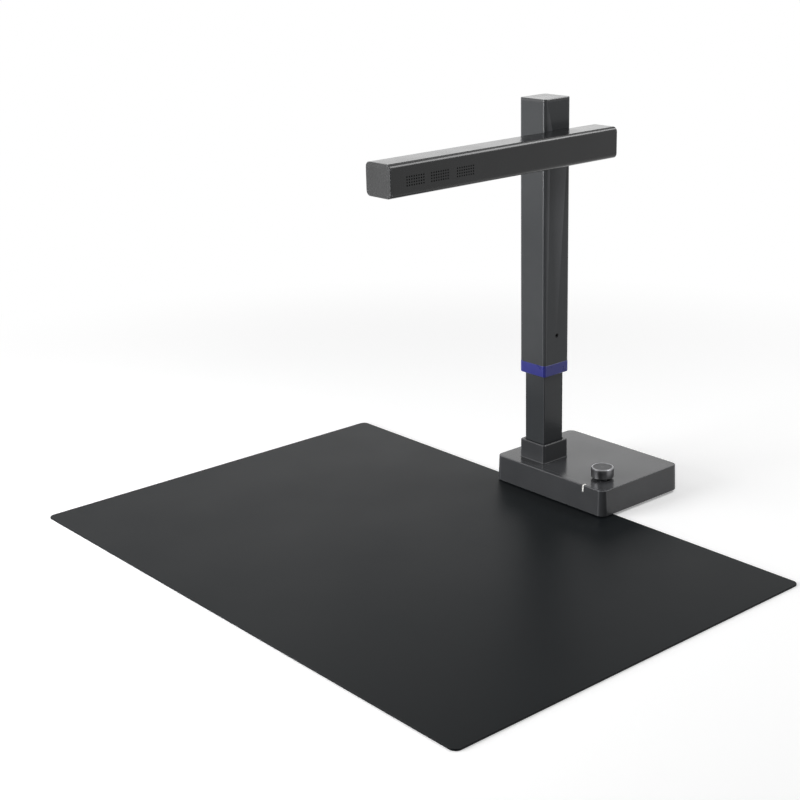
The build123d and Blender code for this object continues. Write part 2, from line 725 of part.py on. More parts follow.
# Grub screw: pins the guide bush, its hexagon socket showing on the head side of the mast
grub_end = bush_inner / 2 + grub_screw_tip_gap
grub_length = upper_tube_side / 2 - grub_screw_recess - grub_end
with BuildPart() as grub_screw:
    with BuildSketch(side_plane(grub_end, grub_screw_z)):
        Circle(grub_screw_radius)
    extrude(amount=grub_length)
    with BuildSketch(side_plane(grub_end + grub_length, grub_screw_z)):
        RegularPolygon(grub_screw_radius / 2, 6)
    extrude(amount=-grub_length / 2, mode=Mode.SUBTRACT)
grub_screw.part.label = "grub_screw"
export_step(grub_screw.part, "parts/grub_screw.step")

# Mast cap: a plate with a hollow spigot that closes the upper tube
cap_spigot_side = upper_tube_inner - 2 * fit_clearance
with BuildPart() as mast_cap:
    with BuildSketch(Plane.XY.offset(upper_tube_top)):
        RectangleRounded(upper_tube_side, upper_tube_side, upper_tube_corner)
    extrude(amount=mast_cap_thickness)
    chamfer(mast_cap.faces().sort_by(Axis.Z)[-1].edges(), mast_cap_chamfer)
    with BuildSketch(Plane.XY.offset(upper_tube_top)):
        RectangleRounded(cap_spigot_side, cap_spigot_side, upper_tube_inner_corner)
        cap_hollow_side = cap_spigot_side - 2 * mast_cap_spigot_wall
        Rectangle(cap_hollow_side, cap_hollow_side, mode=Mode.SUBTRACT)
    extrude(amount=-mast_cap_spigot)
mast_cap.part.label = "mast_cap"
export_step(mast_cap.part, "parts/mast_cap.step")

# Pivot block: fills the mast behind the head and grips the hinge shaft
block_side = upper_tube_inner - 2 * fit_clearance
with BuildPart() as pivot_block:
    with BuildSketch(Plane.XY.offset(head_mid_height - pivot_block_height / 2)):
        RectangleRounded(block_side, block_side, upper_tube_inner_corner)
        with Locations((-block_side / 2, 0)):
            Rectangle(2 * cable_bore_radius, 2 * cable_bore_radius, mode=Mode.SUBTRACT)
    extrude(amount=pivot_block_height)
    with BuildSketch(side_plane(0, 0)):
        with Locations((0, head_mid_height)):
            Circle(shaft_radius)
            with GridLocations(pivot_screw_spacing, pivot_screw_spacing, 2, 2):
                Circle(screw_hole_radius)
    extrude(amount=upper_tube_side, both=True, mode=Mode.SUBTRACT)
pivot_block.part.label = "pivot_block"
export_step(pivot_block.part, "parts/pivot_block.step")

# Pivot screws: four countersunk screws through the tube's head side into the block
pivot_screw_form = countersunk_screw(upper_tube_wall + pivot_screw_grip)
with BuildPart() as pivot_screws:
    with Locations(side_plane(upper_tube_side / 2, head_mid_height, -1)):
        with GridLocations(pivot_screw_spacing, pivot_screw_spacing, 2, 2):
            add(pivot_screw_form)
pivot_screws.part.label = "pivot_screws"
export_step(pivot_screws.part, "parts/pivot_screws.step")

# Hinge shaft: a hollow steel shaft from the pivot block into the head, with the cables' bore
shaft_start = -block_side / 2 + cable_bore_radius
with BuildPart() as hinge_shaft:
    with BuildSketch(side_plane(shaft_start, head_mid_height)):
        Circle(shaft_radius)
        Circle(shaft_bore_radius, mode=Mode.SUBTRACT)
    extrude(amount=shaft_end - shaft_start)
    chamfer(hinge_shaft.faces().sort_by(Axis.X)[-1].outer_wire().edges(), shaft_chamfer)
hinge_shaft.part.label = "hinge_shaft"
export_step(hinge_shaft.part, "parts/hinge_shaft.step")

# Friction washers: dished washers between the head's bush and the nut
with BuildPart() as friction_washers:
    for turn in range(washer_count):
        washer_x = washer_start + turn * washer_thickness
        with BuildSketch(side_plane(washer_x, head_mid_height)):
            Circle(shaft_radius + washer_rim - turn * washer_step)
            Circle(shaft_radius, mode=Mode.SUBTRACT)
        extrude(amount=washer_thickness)
friction_washers.part.label = "friction_washers"
export_step(friction_washers.part, "parts/friction_washers.step")

# Hinge nut
with BuildPart() as hinge_nut:
    with BuildSketch(side_plane(nut_start, head_mid_height)):
        RegularPolygon(shaft_radius + nut_wall, 6)
        Circle(shaft_radius, mode=Mode.SUBTRACT)
    extrude(amount=nut_height)
hinge_nut.part.label = "hinge_nut"
export_step(hinge_nut.part, "parts/hinge_nut.step")

# Head housing: a rounded channel, open below for the cover, with the vents on its outer side
with BuildPart() as head_housing:
    with BuildSketch(head_profile_plane(housing_front)):
        RectangleRounded(head_width, head_height, head_corner_radius)
        RectangleRounded(head_cavity_width, head_cavity_height, head_cavity_radius, mode=Mode.SUBTRACT)
    extrude(amount=housing_length)
    with BuildSketch(Plane.XY.offset(head_bottom)):
        with Locations((head_mid_x, housing_mid_y)):
            Rectangle(cover_width + 2 * fit_clearance, housing_length)
    extrude(amount=head_wall, mode=Mode.SUBTRACT)
    with BuildSketch(Plane.XY.offset(head_bottom + head_wall)):
        with Locations((head_mid_x, housing_mid_y)):
            Rectangle(cover_flange_width + 2 * fit_clearance, housing_length)
    extrude(amount=cover_flange_thickness + fit_clearance, mode=Mode.SUBTRACT)
    vent_z = head_mid_height - vent_drop
    with BuildSketch(side_plane(head_outer_x, vent_z)):
        for group_reach in vent_groups:
            with Locations((group_reach - head_front_reach, 0)):
                with GridLocations(vent_pitch_y, vent_pitch_z, vent_columns, vent_rows):
                    Rectangle(vent_side, vent_side)
    extrude(amount=-head_wall, mode=Mode.SUBTRACT)
    # Rails on both side walls, under which the camera board is fixed
    with BuildSketch(Plane.XY.offset(camera_board_top)):
        for side_x in (-1, 1):
            with Locations((head_mid_x + side_x * (head_cavity_width - rail_width) / 2, camera_board_mid_y)):
                Rectangle(rail_width, camera_board_length)
    extrude(amount=rail_thickness)
    with BuildSketch(side_plane(0, 0)):
        with Locations((0, head_mid_height)):
            Circle(hinge_bush_radius)
    extrude(amount=hinge_plate_x, mode=Mode.SUBTRACT)
    with Locations(side_plane(head_inner_x, head_mid_height, -1)):
        with GridLocations(2 * hinge_plate_screw_reach, hinge_plate_length, 2, 1):
            CounterSinkHole(screw_hole_radius, screw_seat_radius, head_wall)
head_housing.part.label = "head_housing"
export_step(head_housing.part, "parts/head_housing.step")

# Head cover: slides into the channel from its end, with the lens window and the light's slot
with BuildPart() as head_cover:
    with BuildSketch(Plane.XY.offset(head_bottom)):
        with Locations((head_mid_x, housing_mid_y)):
            Rectangle(cover_width, housing_length)
    extrude(amount=head_wall)
    with BuildSketch(Plane.XY.offset(head_bottom + head_wall)):
        with Locations((head_mid_x, housing_mid_y)):
            Rectangle(cover_flange_width, housing_length)
    extrude(amount=cover_flange_thickness)
    with BuildSketch(Plane.XY.offset(head_bottom)):
        with Locations((head_mid_x, -lens_reach)):
            Circle(lens_window_radius + fit_clearance)
        with Locations((head_mid_x, light_mid_y)):
            Rectangle(light_width + 2 * fit_clearance, light_length + 2 * fit_clearance)
    extrude(amount=lens_window_thickness + window_recess, mode=Mode.SUBTRACT)
    with BuildSketch(Plane.XY.offset(head_bottom)):
        with Locations((head_mid_x, -lens_reach)):
            Circle(lens_window_radius - window_ledge)
        with Locations((head_mid_x, light_mid_y)):
            Rectangle(light_width - 2 * light_ledge, light_length - 2 * light_ledge)
    extrude(amount=head_wall + cover_flange_thickness, mode=Mode.SUBTRACT)
head_cover.part.label = "head_cover"
export_step(head_cover.part, "parts/head_cover.step")

# End caps of the head
head_front_cap = head_end_cap(housing_front, -1)
head_front_cap.part.label = "head_front_cap"
export_step(head_front_cap.part, "parts/head_front_cap.step")

head_rear_cap = head_end_cap(housing_back, 1)
head_rear_cap.part.label = "head_rear_cap"
export_step(head_rear_cap.part, "parts/head_rear_cap.step")

# Lens window: a clear disc in the cover's step
with BuildPart() as lens_window:
    with BuildSketch(Plane.XY.offset(head_bottom + window_recess)):
        with Locations((head_mid_x, -lens_reach)):
            Circle(lens_window_radius)
    extrude(amount=lens_window_thickness)
lens_window.part.label = "lens_window"
export_step(lens_window.part, "parts/lens_window.step")

# Light diffuser: a frosted bar in the cover's slot
with BuildPart() as light_diffuser:
    with BuildSketch(Plane.XY.offset(head_bottom + light_recess)):
        with Locations((head_mid_x, light_mid_y)):
            RectangleRounded(light_width, light_length, light_corner_radius)
    extrude(amount=lens_window_thickness + window_recess - light_recess)
light_diffuser.part.label = "light_diffuser"
export_step(light_diffuser.part, "parts/light_diffuser.step")

# Light board: its strip of lamps shines down through the diffuser
with BuildPart() as light_board:
    with BuildSketch(Plane.XY.offset(cover_top + lamp_height)):
        with Locations((head_mid_x, light_mid_y)):
            Rectangle(light_width + 2 * light_board_margin, light_length + 2 * light_board_margin)
    extrude(amount=board_thickness)
    with BuildSketch(Plane.XY.offset(cover_top)):
        with Locations((head_mid_x, light_mid_y)):
            with GridLocations(lamp_width, light_length / lamp_count, 1, lamp_count):
                Rectangle(lamp_width, lamp_length)
    extrude(amount=lamp_height)
light_board.part.label = "light_board"
export_step(light_board.part, "parts/light_board.step")

# Lens: a stepped barrel in a square holder under the camera board, with a domed front glass
with BuildPart() as lens_barrel:
    with BuildSketch(Plane(origin=(head_mid_x, -lens_reach, 0), x_dir=(1, 0, 0), z_dir=(0, -1, 0))):
        with BuildLine():
            lens_low = lens_holder_bottom - lens_barrel_length
            Polyline(
                (lens_barrel_radius - lens_barrel_wall, lens_low + lens_barrel_lip),
                (lens_barrel_radius - lens_barrel_lip, lens_low),
                (lens_barrel_radius, lens_low),
                (lens_barrel_radius, lens_low + lens_grip_length),
                (lens_barrel_radius - lens_grip_step, lens_low + lens_grip_length + lens_grip_step),
                (lens_barrel_radius - lens_grip_step, lens_holder_bottom),
                (lens_barrel_radius - lens_barrel_wall, lens_holder_bottom),
                close=True,
            )
        make_face()
    revolve(axis=Axis((head_mid_x, -lens_reach, 0), (0, 0, 1)))
lens_barrel.part.label = "lens_barrel"
export_step(lens_barrel.part, "parts/lens_barrel.step")

glass_radius = lens_barrel_radius - lens_barrel_wall - fit_clearance
glass_low = lens_low + glass_set_back
with BuildPart() as lens_glass:
    with BuildSketch(Plane(origin=(head_mid_x, -lens_reach, 0), x_dir=(1, 0, 0), z_dir=(0, -1, 0))):
        with BuildLine():
            TangentArc((0, glass_low), (glass_radius, glass_low + glass_crown), tangent=(1, 0))
            Polyline(
                (glass_radius, glass_low + glass_crown),
                (glass_radius, glass_low + glass_thickness),
                (0, glass_low + glass_thickness),
                (0, glass_low),
            )
        make_face()
    revolve(axis=Axis((head_mid_x, -lens_reach, 0), (0, 0, 1)))
lens_glass.part.label = "lens_glass"
export_step(lens_glass.part, "parts/lens_glass.step")

with BuildPart() as lens_holder:
    with BuildSketch(Plane.XY.offset(lens_holder_bottom)):
        with Locations((head_mid_x, -lens_reach)):
            RectangleRounded(lens_holder_side, lens_holder_side, lens_holder_corner)
            Circle(lens_barrel_radius - lens_barrel_wall, mode=Mode.SUBTRACT)
    extrude(amount=lens_holder_height)
lens_holder.part.label = "lens_holder"
export_step(lens_holder.part, "parts/lens_holder.step")

# Camera board and its finned heat sink, behind the vents
with BuildPart() as camera_board:
    with BuildSketch(Plane.XY.offset(camera_board_bottom)):
        with Locations((head_mid_x, camera_board_mid_y)):
            Rectangle(camera_board_width, camera_board_length)
    extrude(amount=board_thickness)
camera_board.part.label = "camera_board"
export_step(camera_board.part, "parts/camera_board.step")

with BuildPart() as heat_sink:
    heat_sink_length = camera_board_length - 2 * heat_sink_margin
    with BuildSketch(Plane.XY.offset(camera_board_top)):
        with Locations((head_mid_x, camera_board_mid_y)):
            Rectangle(heat_sink_width, heat_sink_length)
    extrude(amount=heat_sink_base)
    fin_pitch = (heat_sink_width - fin_thickness) / (fin_count - 1)
    with BuildSketch(Plane.XY.offset(camera_board_top)):
        with Locations((head_mid_x, camera_board_mid_y)):
            with GridLocations(fin_pitch, heat_sink_length, fin_count, 1):
                Rectangle(fin_thickness, heat_sink_length)
    extrude(amount=heat_sink_height)
heat_sink.part.label = "heat_sink"
export_step(heat_sink.part, "parts/heat_sink.step")

# Hinge plate and bush in the head
with BuildPart() as hinge_plate:
    with BuildSketch(side_plane(hinge_plate_x, head_mid_height)):
        RectangleRounded(hinge_plate_length, head_cavity_height - 2 * head_cavity_radius, hinge_plate_corner)
        Circle(hinge_bush_radius, mode=Mode.SUBTRACT)
        with GridLocations(2 * hinge_plate_screw_reach, hinge_plate_length, 2, 1):
            Circle(screw_hole_radius, mode=Mode.SUBTRACT)
    extrude(amount=hinge_plate_thickness)
hinge_plate.part.label = "hinge_plate"
export_step(hinge_plate.part, "parts/hinge_plate.step")

with BuildPart() as hinge_bush:
    bush_start = head_inner_x + hinge_bush_set_in
    with BuildSketch(side_plane(bush_start, head_mid_height)):
        Circle(hinge_bush_radius)
    extrude(amount=hinge_bush_end - bush_start)
    with BuildSketch(side_plane(hinge_bush_end, head_mid_height)):
        Circle(hinge_bush_radius + hinge_bush_flange_rim)
    extrude(amount=hinge_bush_flange)
    with BuildSketch(side_plane(bush_start, head_mid_height)):
        Circle(shaft_radius + shaft_running_clearance)
    extrude(amount=hinge_bush_end + hinge_bush_flange - bush_start, mode=Mode.SUBTRACT)
hinge_bush.part.label = "hinge_bush"
export_step(hinge_bush.part, "parts/hinge_bush.step")

# Hinge screws: hold the hinge plate to the housing, heads flush on the mast's side
hinge_screw_form = countersunk_screw(head_wall + hinge_plate_thickness - short_screw_tip_gap)
with BuildPart() as hinge_screws:
    with Locations(side_plane(head_inner_x, head_mid_height)):
        with GridLocations(2 * hinge_plate_screw_reach, hinge_plate_length, 2, 1):
            add(hinge_screw_form)
hinge_screws.part.label = "hinge_screws"
export_step(hinge_screws.part, "parts/hinge_screws.step")

# Main board on spacers over the ballast, with its two sockets
with BuildPart() as main_board:
    with BuildSketch(Plane.XY.offset(main_board_bottom)):
        with Locations((main_board_x, main_board_y)):
            Rectangle(main_board_width, main_board_depth)
        board_notch_reach = post_inset + post_radius + board_gap
        with Locations(rear_corners[-1]):
            Rectangle(2 * board_notch_reach, 2 * board_notch_reach, mode=Mode.SUBTRACT)
    extrude(amount=board_thickness)
    with BuildSketch(Plane.XY.offset(main_board_top)):
        with Locations((main_board_x - processor_offset, main_board_y - chip_front_offset)):
            Rectangle(processor_side, processor_side)
        with Locations((main_board_x + memory_offset, main_board_y - chip_front_offset)):
            Rectangle(memory_width, memory_depth)
    extrude(amount=chip_height)
main_board.part.label = "main_board"
export_step(main_board.part, "parts/main_board.step")

with BuildPart() as board_spacers:
    with BuildSketch(Plane.XY.offset(ballast_top)):
        with Locations((main_board_x, main_board_y)):
            with GridLocations(
                main_board_width - 2 * spacer_side_inset, main_board_depth - 2 * spacer_end_inset, 2, 2
            ):
                Circle(spacer_radius)
    extrude(amount=ballast_to_board)
board_spacers.part.label = "board_spacers"
export_step(board_spacers.part, "parts/board_spacers.step")

power_mid_z = main_board_top + power_socket_side / 2
power_plane = Plane(origin=(power_socket_x, socket_mouth_y, power_mid_z), x_dir=(-1, 0, 0), z_dir=(0, 1, 0))
with BuildPart() as power_socket:
    with BuildSketch(power_plane):
        Circle(power_socket_side / 2)
    extrude(amount=-power_collar_length)
    with BuildSketch(power_plane.offset(-power_collar_length)):
        Rectangle(power_socket_side, power_socket_side)
    extrude(amount=power_collar_length - power_socket_depth)
    with BuildSketch(power_plane):
        Circle(power_bore_radius)
        Circle(power_pin_radius, mode=Mode.SUBTRACT)
    extrude(amount=power_socket_back - power_socket_depth, mode=Mode.SUBTRACT)
power_socket.part.label = "power_socket"
export_step(power_socket.part, "parts/power_socket.step")

data_mid_z = main_board_top + data_socket_height / 2
data_plane = Plane(origin=(data_socket_x, socket_mouth_y, data_mid_z), x_dir=(-1, 0, 0), z_dir=(0, 1, 0))
with BuildPart() as data_socket:
    with BuildSketch(data_plane):
        SlotOverall(data_socket_width, data_socket_height)
    extrude(amount=-data_socket_depth)
    with BuildSketch(data_plane):
        SlotOverall(data_socket_width - 2 * data_socket_wall, data_socket_height - 2 * data_socket_wall)
        Rectangle(data_tongue_width, data_tongue_thickness, mode=Mode.SUBTRACT)
    extrude(amount=data_socket_back - data_socket_depth, mode=Mode.SUBTRACT)
data_socket.part.label = "data_socket"
export_step(data_socket.part, "parts/data_socket.step")

# Control board under the knob, on two posts that stand on the plate
with BuildPart() as control_board:
    with BuildSketch(Plane.XY.offset(control_board_bottom)):
        with Locations((control_board_x, control_board_y)):
            Rectangle(control_board_width, control_board_depth)
    extrude(amount=board_thickness)
control_board.part.label = "control_board"
export_step(control_board.part, "parts/control_board.step")

with BuildPart() as control_posts:
    with BuildSketch(Plane.XY.offset(plate_top)):
        with Locations((control_board_x, control_board_y)):
            with GridLocations(
                control_board_width - 2 * control_post_side_inset,
                control_board_depth - 2 * control_post_end_inset,
                2,
                2,
            ):
                Circle(control_post_radius)
    extrude(amount=control_board_bottom - plate_top)
control_posts.part.label = "control_posts"
export_step(control_posts.part, "parts/control_posts.step")

# Encoder: a square body with a bushing that comes up through the base top
with BuildPart() as encoder_body:
    with BuildSketch(Plane.XY.offset(control_board_top)):
        with Locations((knob_x, knob_y)):
            Rectangle(encoder_side, encoder_side)
    extrude(amount=encoder_height)
    with BuildSketch(Plane.XY.offset(encoder_top)):
        with Locations((knob_x, knob_y)):
            Circle(encoder_bushing_radius)
    extrude(amount=base_top - encoder_top)
    with BuildSketch(Plane.XY.offset(shaft_bottom - knob_travel - slide_clearance)):
        with Locations((knob_x, knob_y)):
            Circle(encoder_shaft_radius + shaft_running_clearance)
    extrude(amount=base_height, mode=Mode.SUBTRACT)
    with BuildSketch(Plane.XY.offset(control_board_top + slide_clearance)):
        with Locations((knob_x, knob_y)):
            Circle(plunger_radius + slide_clearance)
    extrude(amount=plunger_height + 2 * knob_travel, mode=Mode.SUBTRACT)
encoder_body.part.label = "encoder_body"
export_step(encoder_body.part, "parts/encoder_body.step")

# Switch plunger: pushed down by the shaft, under the encoder
with BuildPart() as switch_plunger:
    with BuildSketch(Plane.XY.offset(plunger_bottom)):
        with Locations((knob_x, knob_y)):
            Circle(plunger_radius)
    extrude(amount=plunger_height)
    chamfer(switch_plunger.faces().sort_by(Axis.Z)[-1].edges(), plunger_chamfer)
switch_plunger.part.label = "switch_plunger"
export_step(switch_plunger.part, "parts/switch_plunger.step")

# Knob shaft: round in the bushing, with a flat inside the knob
with BuildPart() as knob_shaft:
    with BuildSketch(Plane.XY.offset(shaft_bottom)):
        with Locations((knob_x, knob_y)):
            Circle(encoder_shaft_radius)
    extrude(amount=shaft_knob_top - shaft_bottom)
    with BuildSketch(Plane.XY.offset(knob_bottom)):
        with Locations((knob_x, knob_y + encoder_shaft_radius)):
            Rectangle(2 * encoder_shaft_radius, encoder_shaft_radius)
    extrude(amount=shaft_knob_top - knob_bottom, mode=Mode.SUBTRACT)
knob_shaft.part.label = "knob_shaft"
export_step(knob_shaft.part, "parts/knob_shaft.step")

# Knob: a hollow turned cup with a hub, a bevelled rim and a seat for its disc
with BuildPart() as knob:
    with BuildSketch(Plane.XY.offset(knob_bottom)):
        with Locations((knob_x, knob_y)):
            Circle(knob_radius)
    extrude(amount=knob_height)
    chamfer(knob.faces().sort_by(Axis.Z)[-1].edges(), knob_bevel)
    chamfer(knob.faces().sort_by(Axis.Z)[0].edges(), knob_bottom_chamfer)
    with BuildSketch(Plane.XY.offset(knob_top)):
        with Locations((knob_x, knob_y)):
            Circle(knob_radius - knob_bevel - knob_disc_inset)
    extrude(amount=-knob_disc_thickness, mode=Mode.SUBTRACT)
    with BuildSketch(Plane.XY.offset(knob_bottom)):
        with Locations((knob_x, knob_y)):
            Circle(knob_radius - knob_wall)
            Circle(encoder_shaft_radius + knob_wall, mode=Mode.SUBTRACT)
    extrude(amount=knob_height - knob_disc_thickness - knob_web, mode=Mode.SUBTRACT)
    with BuildSketch(Plane.XY.offset(knob_bottom)):
        with Locations((knob_x, knob_y)):
            Circle(encoder_shaft_radius)
        with Locations((knob_x, knob_y + encoder_shaft_radius)):
            Rectangle(2 * encoder_shaft_radius, encoder_shaft_radius, mode=Mode.SUBTRACT)
    extrude(amount=shaft_knob_top - knob_bottom, mode=Mode.SUBTRACT)
knob.part.label = "knob"
export_step(knob.part, "parts/knob.step")

with BuildPart() as knob_disc:
    with BuildSketch(Plane.XY.offset(knob_top - knob_disc_thickness)):
        with Locations((knob_x, knob_y)):
            Circle(knob_radius - knob_bevel - knob_disc_inset - fit_clearance)
    extrude(amount=knob_disc_thickness - knob_disc_recess)
knob_disc.part.label = "knob_disc"
export_step(knob_disc.part, "parts/knob_disc.step")

# Light guide: shows on the base's top and front, and runs down inside to the control board
guide_front_y = -base_front_reach
guide_top_end = guide_front_y + light_guide_top_length - fit_clearance
guide_inner_y = guide_front_y + base_wall + light_guide_wall_gap
guide_stem_y = guide_inner_y + light_guide_thickness
guide_drop = light_guide_front_drop - fit_clearance
guide_foot_z = control_board_top + light_guide_board_gap
with BuildPart() as light_guide:
    with BuildSketch(side_plane(light_guide_x, 0)):
        with BuildLine():
            Polyline(
                (guide_front_y, base_top),
                (guide_top_end, base_top),
                (guide_top_end, base_ceiling),
                (guide_stem_y, base_ceiling - (guide_stem_y - guide_inner_y)),
                (guide_stem_y, guide_foot_z),
                (guide_inner_y, guide_foot_z),
                (guide_inner_y, base_top - guide_drop),
                (guide_front_y - guide_drop * tan(radians(base_draft)), base_top - guide_drop),
                close=True,
            )
        make_face()
    extrude(amount=light_guide_width / 2, both=True)
    long_edges = light_guide.edges().filter_by(Axis.X)
    fillet(long_edges.sort_by(lambda edge: edge.center().Z - edge.center().Y)[-1], base_edge_radius)
light_guide.part.label = "light_guide"
export_step(light_guide.part, "parts/light_guide.step")

# Document mat: lies on the desk, its back edge tucked under the base
with BuildPart() as document_mat:
    with BuildSketch(Plane.XY):
        with Locations((head_mid_x - mat_side_shift, foot_front_y - foot_width / 2 - mat_foot_gap - mat_depth / 2)):
            RectangleRounded(mat_width, mat_depth, mat_corner_radius)
    extrude(amount=mat_thickness)
    chamfer(document_mat.faces().sort_by(Axis.Z)[-1].edges(), mat_chamfer)
document_mat.part.label = "document_mat"
export_step(document_mat.part, "parts/document_mat.step")
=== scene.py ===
import json
from math import cos, pi, radians, sin, tan

import bpy
import numpy as np
from mathutils import Matrix, Vector


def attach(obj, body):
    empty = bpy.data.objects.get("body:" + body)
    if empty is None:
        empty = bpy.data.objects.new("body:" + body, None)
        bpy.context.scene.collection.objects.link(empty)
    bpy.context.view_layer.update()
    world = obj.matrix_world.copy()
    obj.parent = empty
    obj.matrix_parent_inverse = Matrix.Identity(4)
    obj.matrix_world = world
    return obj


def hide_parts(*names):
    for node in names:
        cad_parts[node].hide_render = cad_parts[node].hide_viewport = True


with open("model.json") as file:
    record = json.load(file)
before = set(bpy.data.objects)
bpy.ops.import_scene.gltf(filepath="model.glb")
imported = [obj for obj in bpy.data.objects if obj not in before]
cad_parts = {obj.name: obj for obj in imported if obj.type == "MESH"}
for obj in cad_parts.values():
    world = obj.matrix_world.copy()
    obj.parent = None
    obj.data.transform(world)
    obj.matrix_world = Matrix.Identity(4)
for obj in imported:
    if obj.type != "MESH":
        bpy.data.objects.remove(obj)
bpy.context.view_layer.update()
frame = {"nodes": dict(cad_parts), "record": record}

# Overhead book scanner: lit studio, finishes, and the pieces whose edges and pattern need more than the CAD meshes.
# Sizes are in millimetres until they go into a mesh; the origin is on the desk under the mast.
mm = 0.001
cornerSteps = 10       # facets in each quarter of a rounded square
smoothBelow = 32       # degrees between faces that still shade as one surface
faceWeight = 90        # how far the larger face decides a shared normal
cutterCorner = 0.02    # corner radius of a square cutter
through = 12.0         # length of a cutter that goes right through a wall


def linear(hexColour):
    # sRGB hex to linear: c/12.92 below 0.04045, else ((c + 0.055) / 1.055) ^ 2.4
    srgb = np.array([int(hexColour[i:i + 2], 16) for i in (1, 3, 5)]) / 255
    straight = np.where(srgb <= 0.04045, srgb / 12.92, ((srgb + 0.055) / 1.055) ** 2.4)
    return (*straight.tolist(), 1.0)


def addNode(tree, kind, inputs=(), **settings):
    # settings are the node's own properties; inputs maps a socket's name or number to a value or an output
    node = tree.nodes.new(kind)
    for key, value in settings.items():
        setattr(node, key, value)
    for key, value in dict(inputs).items():
        if isinstance(value, bpy.types.NodeSocket):
            tree.links.new(value, node.inputs[key])
        else:
            node.inputs[key].default_value = value
    return node


# Camera: the photograph's angle, found from the corners of the base, mast and head
cameraView = {
    "azimuth": 50.098,
    "elevation": 18.3,
    "roll": -1.563,
    "focalPixels": 1539.98,
    "framePixels": 800,
    "sensorWidth": 36.0,
    "place": (995.61, -1014.24, 557.17),
}


def makeCamera(view):
    # axes: back points from the object to the camera, right is level, up = back x right, then both turn by the roll
    azimuth, elevation, roll = (radians(view[key]) for key in ("azimuth", "elevation", "roll"))
    back = np.array([sin(azimuth) * cos(elevation), -cos(azimuth) * cos(elevation), sin(elevation)])
    level = np.array([cos(azimuth), sin(azimuth), 0.0])
    upright = np.cross(back, level)
    right = cos(roll) * level + sin(roll) * upright
    up = -sin(roll) * level + cos(roll) * upright
    data = bpy.data.cameras.new("camera")
    data.sensor_width = view["sensorWidth"]
    data.lens = view["focalPixels"] / view["framePixels"] * view["sensorWidth"]
    data.clip_start = 0.01
    data.clip_end = 100
    camera = bpy.data.objects.new("camera", data)
    bpy.context.scene.collection.objects.link(camera)
    placed = np.eye(4)
    placed[:3, 0], placed[:3, 1], placed[:3, 2] = right, up, back
    placed[:3, 3] = np.array(view["place"]) * mm
    camera.matrix_world = Matrix(placed.tolist())
    bpy.context.scene.camera = camera


makeCamera(cameraView)
print("camera set")


# Studio: white floor and surroundings, softboxes out of view
studio = {
    "skyForDiffuse": 0.27,
    "floorColour": "#F4F4F4",
    "floorLift": 0.26,             # emission that brings the unshaded floor to white
    "floorSide": 24.0,             # metres
    "floorBelow": 0.0002,          # metres under the desk's plane, so that the mat's underside stays clear of it
    "middle": (0.02, -0.16, 0.0),  # middle of the object on the floor
    "farFloor": (0.5, 1.0),        # metres from that middle over which the floor turns to plain white
    "cardColour": "#161616",
    "lamps": {
        # name: place, point it faces, size across and up in metres, watts
        "frontSoftbox": ((-0.34, -1.05, 0.32), (0.0, 0.0, 0.2), (0.62, 0.56), 9.5),
        "leftSoftbox": ((-1.0, -0.85, 0.36), (0.0, -0.02, 0.12), (1.3, 0.7), 2.2),
        "highSoftbox": ((-1.3, -1.5, 1.9), (0.0, -0.05, 0.2), (1.4, 1.4), 10.0),
        "backSoftbox": ((-2.6, 2.2, 1.0), (0.0, 0.0, 0.3), (1.6, 1.0), 2.6),
        "overheadStrip": ((0.5, 0.67, 1.15), (0.03, -0.09, 0.35), (0.85, 0.4), 8.0),
    },
    "blackCards": {
        # seen in reflections alone, where they draw the dark line beside each bright edge
        "frontFlag": ((0.25, -0.58, 0.3), (0.0, 0.0, 0.3), (0.5, 0.58)),
        "backFlag": ((-0.95, 1.0, 1.02), (0.03, -0.08, 0.35), (1.0, 0.42)),
    },
}


def aimAt(place, target):
    # an area lamp shines along its own -Z
    return (Vector(target) - Vector(place)).to_track_quat("-Z", "Y").to_euler()


def flatSheet(name, size, material):
    across, up = size[0] / 2, size[1] / 2
    mesh = bpy.data.meshes.new(name)
    mesh.from_pydata([(-across, -up, 0), (across, -up, 0), (across, up, 0), (-across, up, 0)], [], [(0, 1, 2, 3)])
    mesh.materials.append(material)
    sheet = bpy.data.objects.new(name, mesh)
    bpy.context.scene.collection.objects.link(sheet)
    return sheet


def seenShare(tree):
    # 1 for rays from the camera and for those that a gloss or a clear pane sends on, 0 for all that light the object
    path = addNode(tree, "ShaderNodeLightPath")
    seen = path.outputs["Is Camera Ray"]
    for kind in ("Is Glossy Ray", "Is Transmission Ray"):
        seen = addNode(tree, "ShaderNodeMath", {0: seen, 1: path.outputs[kind]}, operation="MAXIMUM").outputs[0]
    return seen


def makeLamps(look):
    for name, (place, target, size, watts) in look["lamps"].items():
        data = bpy.data.lights.new(name, "AREA")
        data.shape = "RECTANGLE"
        data.size, data.size_y = size
        data.energy = watts
        lamp = bpy.data.objects.new(name, data)
        lamp.location = place
        lamp.rotation_euler = aimAt(place, target)
        lamp.visible_camera = False
        bpy.context.scene.collection.objects.link(lamp)
    card = bpy.data.materials.new("blackCard")
    card.use_nodes = True
    card.node_tree.nodes.clear()
    black = {"Base Color": linear(look["cardColour"]), "Roughness": 0.9}
    shader = addNode(card.node_tree, "ShaderNodeBsdfPrincipled", black)
    addNode(card.node_tree, "ShaderNodeOutputMaterial", {"Surface": shader.outputs[0]})
    for name, (place, target, size) in look["blackCards"].items():
        flag = flatSheet(name, size, card)
        flag.location = place
        flag.rotation_euler = aimAt(place, target)
        flag.visible_camera = flag.visible_diffuse = flag.visible_shadow = flag.visible_transmission = False


